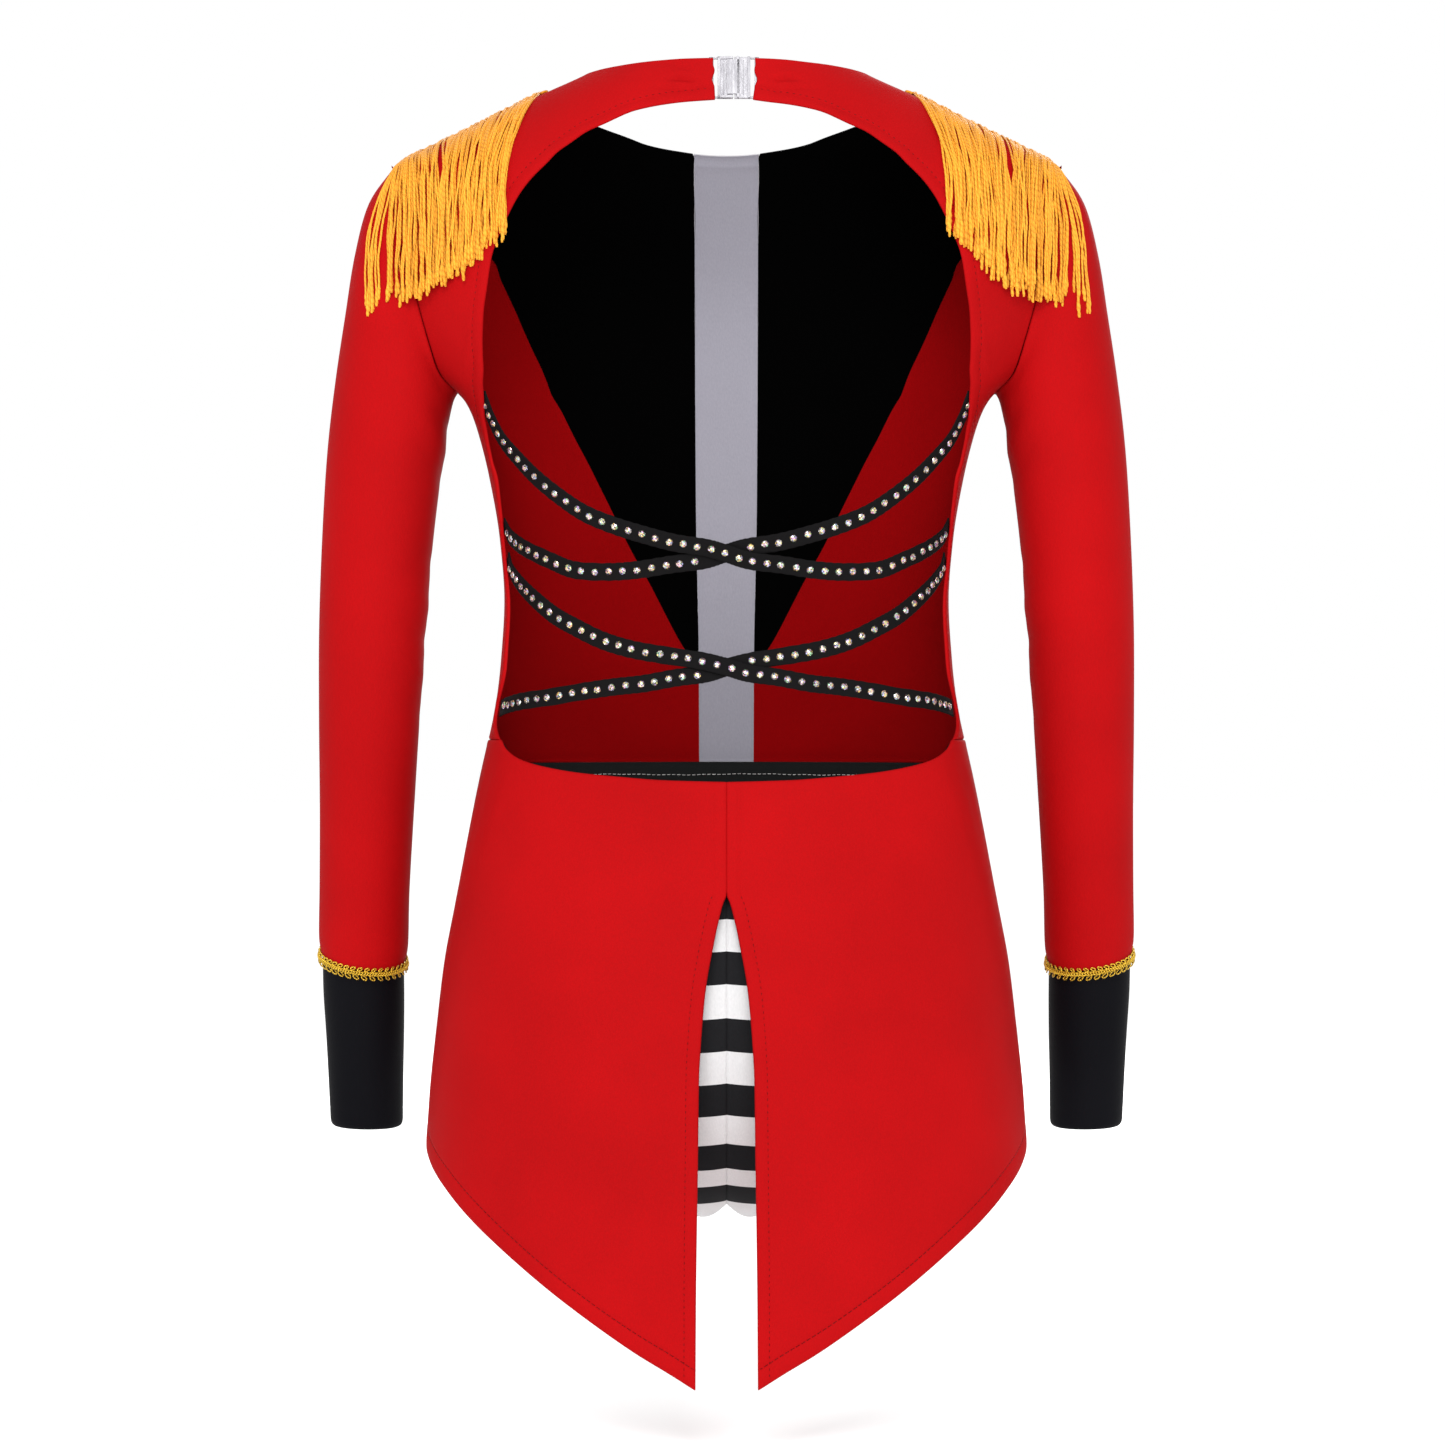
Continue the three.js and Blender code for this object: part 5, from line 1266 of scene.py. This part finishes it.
def clasp_half(side):
    """Half of the clasp in its own frame, as the CAD node is made, with ribs."""
    h, outer, bar, slot, t, rail = 10.75, 12.2, 2.2, 2.0, 0.9, 0.9
    inner = outer - bar - slot
    under = -t - SEAM
    # Each row is a block: from and to in x, y and z.
    rows = [
        (outer - bar, outer, -t * 0.7, t * 0.7, -h, h),
        (inner - 0.1, outer, -t * 0.7, t * 0.7, h - rail, h),
        (inner - 0.1, outer, -t * 0.7, t * 0.7, -h, -h + rail),
    ]
    if side < 0:
        rows += [
            (0.4, inner, -t, t, -h, h), (inner - 1.4, inner, -t - 0.9, t, -h, h),
            (0.4, inner, -t - 0.9, t, h - 1.3, h), (0.4, inner, -t - 0.9, t, -h, -h + 1.3),
            (3.1, 3.5, -t - 0.45, t * 0.5, -h + 1.6, h - 1.6),
            (4.9, 5.3, -t - 0.35, t * 0.5, -h + 1.6, h - 3.4),
        ]
    else:
        rows += [
            (0.2, inner, -t, t, -h, h), (inner - 1.4, inner, -t - 0.9, t, -h, h),
            (1.4, 2.6, -t - 1.5, t, -h, h), (-3.4, 2.6, -t - 1.5, under, -h + 1.7, h - 1.7),
            (-3.4, -2.7, -t - 1.75, under, -h + 2.2, h - 2.2),
            (-1.4, -1.0, -t - 1.7, under, -h + 2.4, h - 2.4),
            (4.4, 4.8, -t - 0.4, t * 0.5, -h + 1.6, h - 1.6),
        ]
    parts = [slab(*((-b, -a) if side < 0 else (a, b)), *rest) for a, b, *rest in rows]
    points, faces = joined(parts)
    lean = math.radians(-CLASP_LEAN)
    turned = points.copy()
    turned[:, 1] = points[:, 1] * math.cos(lean) - points[:, 2] * math.sin(lean)
    turned[:, 2] = points[:, 1] * math.sin(lean) + points[:, 2] * math.cos(lean)
    middle = torso(89, CLASP_Z)[1]
    return turned + [CLASP_X, middle + CLOTH + SEAM + t + 1.2, CLASP_Z], faces


for node, side in (("clasp_loop", -1), ("clasp_hook", 1)):
    points, faces = clasp_half(side)
    obj = make(node + "_moulding", points, faces, [clear])
    bevel = obj.modifiers.new("edges", "BEVEL")
    bevel.width, bevel.segments, bevel.limit_method = CLASP_EDGE, 2, "ANGLE"
    obj.data.shade_flat()
    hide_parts(node)


# Cords of thread, and the twist of their ply.
def thread_mesh(name, material, parts):
    """Joined rods; each part is (path, radius, sides, pitch of the ply)."""
    meshes, twists, tones = [], [], []
    for path, radius, sides, pitch in parts:
        p, f = rod(path, radius, sides)
        meshes.append((p, f))
        length = steps_of(np.asarray(path)) / pitch
        offset = (len(twists) * 0.37) % 1
        for face in f[:-2]:
            i, k = divmod(face[0], sides)
            twists += [length[i] + k / sides + offset, length[i] + (k + 1) / sides + offset,
                       length[i + 1] + (k + 1) / sides + offset, length[i + 1] + k / sides + offset]
        twists += [offset] * (2 * sides)
        tones += [(len(meshes) * 0.618) % 1] * (4 * (len(f) - 2) + 2 * sides)
    points, faces = joined(meshes)
    obj = make(name, points, faces, [material])
    attribute(obj, "twist", twists, "CORNER")
    attribute(obj, "tone", tones, "CORNER")
    return obj


# Braid over the cuff seam: two cords looping along a band.
BRAID_DROP = 1.5
BRAID_HALF = 3.6
BRAID_LIFT = 0.55
BRAID_SKEW = 0.7
LOOPS = [
    {"sign": 1, "pitch": 3.5, "swing": 1.75, "reach": 1.1, "middle": 1.95},
    {"sign": -1, "pitch": 4.1, "swing": 2.05, "reach": 1.35, "middle": -1.55},
]
LOOP_RADIUS = 0.37
TWINE_PITCH = 2.7
TWINE_SWING = 0.85
TWINE_RADIUS = 0.33


def cuff_braid(side):
    """Two looping cords with two twining ones between them, round the sleeve's end."""
    seam = row_of(SLEEVE, len(SLEEVE["ox"]) - 1)
    turns = np.linspace(0, 360, 721)
    rings = {}
    for up in (-BRAID_HALF, 0, BRAID_HALF):
        row = dict(seam, oz=seam["oz"] + up - BRAID_DROP, iz=seam["iz"] + up - BRAID_DROP)
        rings[up] = ring_of(row, SEAM + BRAID_LIFT, turns)
    base = rings[0]
    rise = (rings[BRAID_HALF] - rings[-BRAID_HALF]) / (2 * BRAID_HALF)
    length = steps_of(base)
    total = length[-1]
    centre = base[:-1].mean(0)
    out = base - centre
    out[:, 2] = 0
    out /= np.linalg.norm(out, axis=1, keepdims=True)
    parts = []

    def cord(s, high, depth, radius):
        s = np.mod(s, total)
        path, up, away = (sample_at(v, length, s) for v in (base, rise, out))
        path = path + up * high[:, None] + away * depth[:, None]
        parts.append((path, radius, 6, 1.3))

    for row in LOOPS:
        loops = round(total / row["pitch"])
        theta = np.linspace(0, 2 * math.pi * loops, loops * 22 + 1)
        s = theta / (2 * math.pi) * total / loops - row["swing"] * np.sin(theta)
        s += BRAID_SKEW * row["reach"] * np.cos(theta)
        high = row["middle"] + row["sign"] * row["reach"] * np.cos(theta)
        cord(s, high, 0.2 + 0.42 * np.sin(theta), LOOP_RADIUS)
    for sign in (1, -1):
        waves = round(total / TWINE_PITCH)
        s = np.linspace(0, total, waves * 10 + 1)
        turn = s / total * 2 * math.pi * waves
        high = 0.2 + sign * TWINE_SWING * np.sin(turn)
        cord(s, high, 0.5 + sign * 0.5 * np.cos(turn), TWINE_RADIUS)
    if side == "right":
        parts = [(mirrored(p), r, n, w) for p, r, n, w in parts]
    obj = thread_mesh(f"gimp_braid_{side}", braid_gold, parts)
    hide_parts(f"cuff_braid_{side}")


for side in SIDES:
    cuff_braid(side)


# Shoulder fringe.
FAR_OUT = 400
STRAND_STEPS = 26
STRAND_RADIUS = 0.55
TIP = np.array([1.0, 1.35, 1.4, 0.95, 1.15, 0.75])
STRANDS_BEHIND = 150
STRANDS_BEFORE = 92
# From this share of the header on, the strands hang apart in tufts.
OPEN_FROM = 0.8
# Cords of the header: depth, rise and radius.
HEADER_CORDS = [(-4.9, 1.0, 0.75), (-3.3, 1.1, 0.8), (-1.7, 0.7, 0.85), (0, 0.9, 0.85), (1.7, 1.1, 0.9)]


def tree_of(*faces_of):
    """Search tree of the given grids, each with True when its last column meets its first."""
    points, polygons, base = [], [], 0
    for grid, closed in faces_of:
        rows, columns = grid.shape[:2]
        points += [tuple(p) for p in grid.reshape(-1, 3)]
        for i in range(rows - 1):
            for j in range(columns if closed else columns - 1):
                a, b = base + i * columns, base + (i + 1) * columns
                k = (j + 1) % columns
                polygons.append((a + j, a + k, b + k, b + j))
        base += rows * columns
    return BVHTree.FromPolygons(points, polygons)


def depth_at(tree, x, z, front, otherwise):
    """Depth of the cloth behind or in front of a place, seen from far outside."""
    start = Vector((x, FAR_OUT if front else -FAR_OUT, z))
    hit = tree.ray_cast(start, Vector((0, -1 if front else 1, 0)))
    return hit[0].y if hit[0] is not None else otherwise


# Hanging strands by their share of the header: place and height of the tips behind, in front.
HANG = table("along root back tip front front_tip", [
    (0, 0, 108.5, -69, 107, -64), (0.08, 0.09, 112, -73, 110, -70), (0.2, 0.225, 119, -79, 118, -76),
    (0.33, 0.37, 127, -86, 127, -82), (0.45, 0.505, 135, -93, 136, -88), (0.6, 0.675, 146, -99, 149, -92),
    (0.72, 0.81, 156, -102, 160, -98), (0.8, 0.9, 163, -104, 167, -100), (0.84, 0.92, 165.3, -104, 169, -101),
    (0.88, 0.94, 168.2, -102, 171, -102), (0.9, 0.95, 170.6, -103, 173, -103), (1, 1, 179, -108, 181, -104),
])


def strand_path(tree, share, front, dice, layer):
    """Path of one strand from the header, over the shoulder and down on the cloth."""
    sign = 1 if front else -1
    off = 0.75 + layer * 0.85 + dice.uniform(-0.1, 0.25)
    root = float(along(HANG, "along", share, "root")) + dice.normal(0, 0.02)
    root_x = float(along(FRINGE_RIDGE, "along", root, "x"))
    root_z = float(along(FRINGE_RIDGE, "along", root, "z"))
    hang = float(along(HANG, "along", share, "front" if front else "back"))
    hang += dice.normal(0, 1.5 if share < OPEN_FROM else 0.3)
    tip = float(along(HANG, "along", share, "front_tip" if front else "tip")) + dice.normal(0, 3.0)
    wobble, slow, swing = dice.uniform(0, 6.28), dice.uniform(0.06, 0.16), dice.uniform(0.3, 1.7)
    bend = dice.uniform(1.1, 1.75)
    if front:
        points = [(1.0, 4.0, 0.9), (0.5, 6.5, 0.4 + off)]
        y_before = 10.0
    else:
        points = [(1.5, 6.5, 0.7), (1.0, 4.5, 0.6 + off * 0.8), (0.2, 1.2, 0.5 + off * 0.7)]
        y_before = -2.0
    points.append((-0.6, y_before, 0.1 + off * 0.75))
    points = [(x - root_x, y, z + root_z) for x, y, z in points]
    start_x, start_z = root_x + 1.6, root_z - 2.2
    for t in np.arange(STRAND_STEPS + 1) / STRAND_STEPS:
        z = start_z + (tip - start_z) * t
        x = start_x + (hang - start_x) * (1 - (1 - min(1, t * bend)) ** 1.9)
        sway = swing * math.sin(z * slow + wobble) + 0.3 * math.sin(z * 0.31 + wobble * 2)
        x += sway * math.sqrt(t) * (1 - 0.4 * t)
        y = depth_at(tree, -x, z, front, y_before - sign * off) + sign * off
        y = max(y, y_before) if front else min(y, y_before)
        if t > 0.9 and not front:
            y = y_before
        y_before = y
        points.append((-x, y, z))
    return spline(np.array(points), 2)


def strand_radii(count, dice):
    """Radii along a strand, which opens at its tip."""
    radii = np.full(count, STRAND_RADIUS) * dice.uniform(0.88, 1.12)
    radii[-len(TIP):] = TIP * 0.7 * dice.uniform(0.85, 1.15)
    return radii


def fringe(side):
    """Strands behind and in front of a shoulder, and the cords of their header."""
    dice = np.random.default_rng(7 if side == "left" else 19)
    tree = tree_of((backs["left"][1], False), (fronts["side_left"][1], False),
                   (fronts["vee_left"][1], False), (sleeves["left"][1], True))
    parts = []
    for front, count in ((False, STRANDS_BEHIND), (True, STRANDS_BEFORE)):
        for k in range(count):
            share = (k + 0.5) / count + dice.uniform(-0.004, 0.004)
            sparse = share > 0.9 and k % 2
            if not front and (OPEN_FROM < share < 0.84 or 0.875 < share < 0.905 or sparse):
                continue
            layer = k % (3 if share < OPEN_FROM else 2)
            path = strand_path(tree, float(np.clip(share, 0, 1)), front, dice, layer)
            parts.append((path, strand_radii(len(path), dice), 6, 3.0))
    ridge_at = np.linspace(0, 1, 60)
    ridge = np.stack([-along(FRINGE_RIDGE, "along", ridge_at, "x"), np.full(60, 5.8),
                      along(FRINGE_RIDGE, "along", ridge_at, "z") + 0.75], -1)
    for y, up, radius in HEADER_CORDS:
        parts.append((ridge + [0, y, up], radius, 8, 3.0))
    # Loop of cord at the header's end beside the neck.
    top = ridge[0]
    arc = np.linspace(-0.4, 3.6, 16)
    curl = np.stack([top[0] + 1.0 + 2.2 * np.sin(arc), 3.0 - 2.2 * (1 - np.cos(arc)),
                     top[2] + 0.5 + 1.1 * np.sin(arc * 0.9)], -1)
    parts.append((curl, 0.7, 6, 2.4))
    if side == "right":
        parts = [(mirrored(p), r, n, w) for p, r, n, w in parts]
    obj = thread_mesh(f"shoulder_fringe_{side}", fringe_gold, parts)
    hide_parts(f"fringe_{side}")


for side in SIDES:
    fringe(side)


# Stitches: short threads set into the cloth, this far from the edges.
VENT_STITCH = 6.3
VENT_STITCH_TOP = -392
HEM_STITCH = 9.6
OPENING_STITCH = 5.9
TAIL_STITCHES = {"pitch": 3.0, "length": 1.9, "radius": 0.2, "sink": 0.1}
OPENING_STITCHES = {"pitch": 3.2, "length": 2.0, "radius": 0.19, "sink": 0.12}
BAND_STITCHES = {"pitch": 2.6, "length": 1.7, "radius": 0.17, "sink": -0.03}
VEE_STITCHES = {"pitch": 3.2, "length": 2.0, "radius": 0.17, "sink": 0.1}


def stitch_parts(path, normals, pitch, length, radius, sink):
    """Short threads along a line, whose ends dip into the cloth."""
    run = steps_of(path)
    parts = []
    for s in np.arange(pitch / 2, run[-1] - pitch / 2, pitch):
        at = np.linspace(s - length / 2, s + length / 2, 4)
        p, n = sample(path, at), sample(normals, at)
        p = p + n * (np.array([-0.25, 0.1, 0.1, -0.25]) - sink)[:, None]
        parts.append((p, radius, 4, 1.0))
    return parts


def offset_line(grid, normals, side, distance):
    """Line at a distance from the first column or the bottom row of a grid, with its normals."""
    if side == "bottom":
        grid, normals = (v.transpose(1, 0, 2)[:, ::-1] for v in (grid, normals))
    line, out = [], []
    for row, normal in zip(grid, normals):
        run = steps_of(row)
        if run[-1] < distance * 2.2:
            continue
        line.append(sample_at(row, run, distance))
        out.append(sample_at(normal, run, distance))
    return np.array(line), np.array(out)


red_parts = []
for side in SIDES:
    obj, face, n = tail_pieces[side]
    line, out = offset_line(face, n, "first", VENT_STITCH)
    keep = line[:, 2] < VENT_STITCH_TOP
    red_parts += stitch_parts(line[keep], out[keep], **TAIL_STITCHES)
    line, out = offset_line(face, n, "bottom", HEM_STITCH)
    red_parts += stitch_parts(line, out, **TAIL_STITCHES)
    obj, face, n = backs[side]
    line, out = offset_line(face, n, "first", OPENING_STITCH)
    red_parts += stitch_parts(line, out, **OPENING_STITCHES)
thread_mesh("red_topstitching", red_thread, red_parts)

inward = -band[2][7]
line = band[1][7].copy()
steps = np.arange(len(line))
line[:, 2] += 0.12 * np.sin(steps * 0.9) + 0.25 * np.sin(steps * 0.21)
white_parts = stitch_parts(line + inward * 1.05, inward, **BAND_STITCHES)
thread_mesh("white_stitch_line", white_thread, white_parts)

dark_parts = []
for side in SIDES:
    obj, face, n = fronts["vee_" + side]
    dark_parts += stitch_parts(face[3:-3, -4], n[3:-3, -4], **VEE_STITCHES)
thread_mesh("black_topstitching", black_thread, dark_parts)

# Cloth sizes as worn, measured on each piece; worn knit is stretched across, along and in area by these
# shares.
STRETCH = (0.93, 0.95, 0.88)
sheets = [(kind, piece) for kind, pieces in (
    ("back", backs), ("front", fronts), ("sleeve", sleeves), ("tail", tail_pieces), ("brief", briefs),
    ("band", {"whole": band}),
) for piece in pieces.values()]
for kind, (obj, face, n) in sheets:
    g = np.concatenate([face, face[:, :1]], 1) if kind == "sleeve" else face
    widths = np.linalg.norm(np.diff(g, axis=1), axis=2).sum(1)
    lengths = np.linalg.norm(np.diff(g, axis=0), axis=2).sum(0)
    a = np.linalg.norm(np.cross(np.diff(g, axis=1)[:-1], np.diff(g, axis=0)[:, :-1]), axis=2).sum()
    hung = kind == "tail"
    across, down, whole = (1, 1, 1) if hung else STRETCH


# Stage, light and camera, in metres.
FLOOR_HEIGHT = -0.66


def plain(name, colour, glow):
    """Even, faintly lit surface for the floor."""
    m = Nodes(name)
    m.set(Roughness=0.95, Specular_IOR_Level=0.0, Emission_Strength=glow)
    m.shader.inputs["Emission Color"].default_value = (1, 1, 1, 1)
    m.colour(m.ramp(m.noise(3, 2), [(0.3, colour), (0.7, shade(colour, 1.01))]))
    return m.material


floor_mesh = bpy.data.meshes.new("floor")
corners = [(-20, -20), (20, -20), (20, 20), (-20, 20)]
floor_mesh.from_pydata([(x, y, FLOOR_HEIGHT) for x, y in corners], [], [(0, 1, 2, 3)])
floor = link(bpy.data.objects.new("floor", floor_mesh))
floor_mesh.materials.append(plain("pale_floor", (0.86, 0.86, 0.86), 0.22))

world = bpy.data.worlds.new("studio")
bpy.context.scene.world = world
world.use_nodes = True
background = world.node_tree.nodes["Background"]
background.inputs["Color"].default_value = (1, 1, 1, 1)
background.inputs["Strength"].default_value = 1.0


def softbox(name, place_at, target, size, watts):
    """Square lamp that faces its target."""
    data = bpy.data.lights.new(name, "AREA")
    data.shape, data.size, data.energy = "SQUARE", size, watts
    lamp = link(bpy.data.objects.new(name, data))
    lamp.location = place_at
    lamp.rotation_euler = (Vector(target) - Vector(place_at)).to_track_quat("-Z", "Y").to_euler()


softbox("key_behind", (-0.35, -2.6, 1.15), (0, 0, -0.3), 1.1, 46)
softbox("fill_behind", (0.4, -2.9, 0.0), (0, 0, -0.3), 1.1, 20)
softbox("key_before", (0.6, 2.8, 0.5), (0, 0, -0.3), 1.2, 34)

camera_data = bpy.data.cameras.new("camera")
camera_data.sensor_width = 36
camera_data.lens = 129.55
camera = link(bpy.data.objects.new("camera", camera_data))
camera.location = (-0.002, -2.6, -0.311)
camera.rotation_euler = (math.pi / 2, 0, 0)
bpy.context.scene.camera = camera
bpy.context.scene.view_settings.view_transform = "Standard"

bpy.context.view_layer.update()
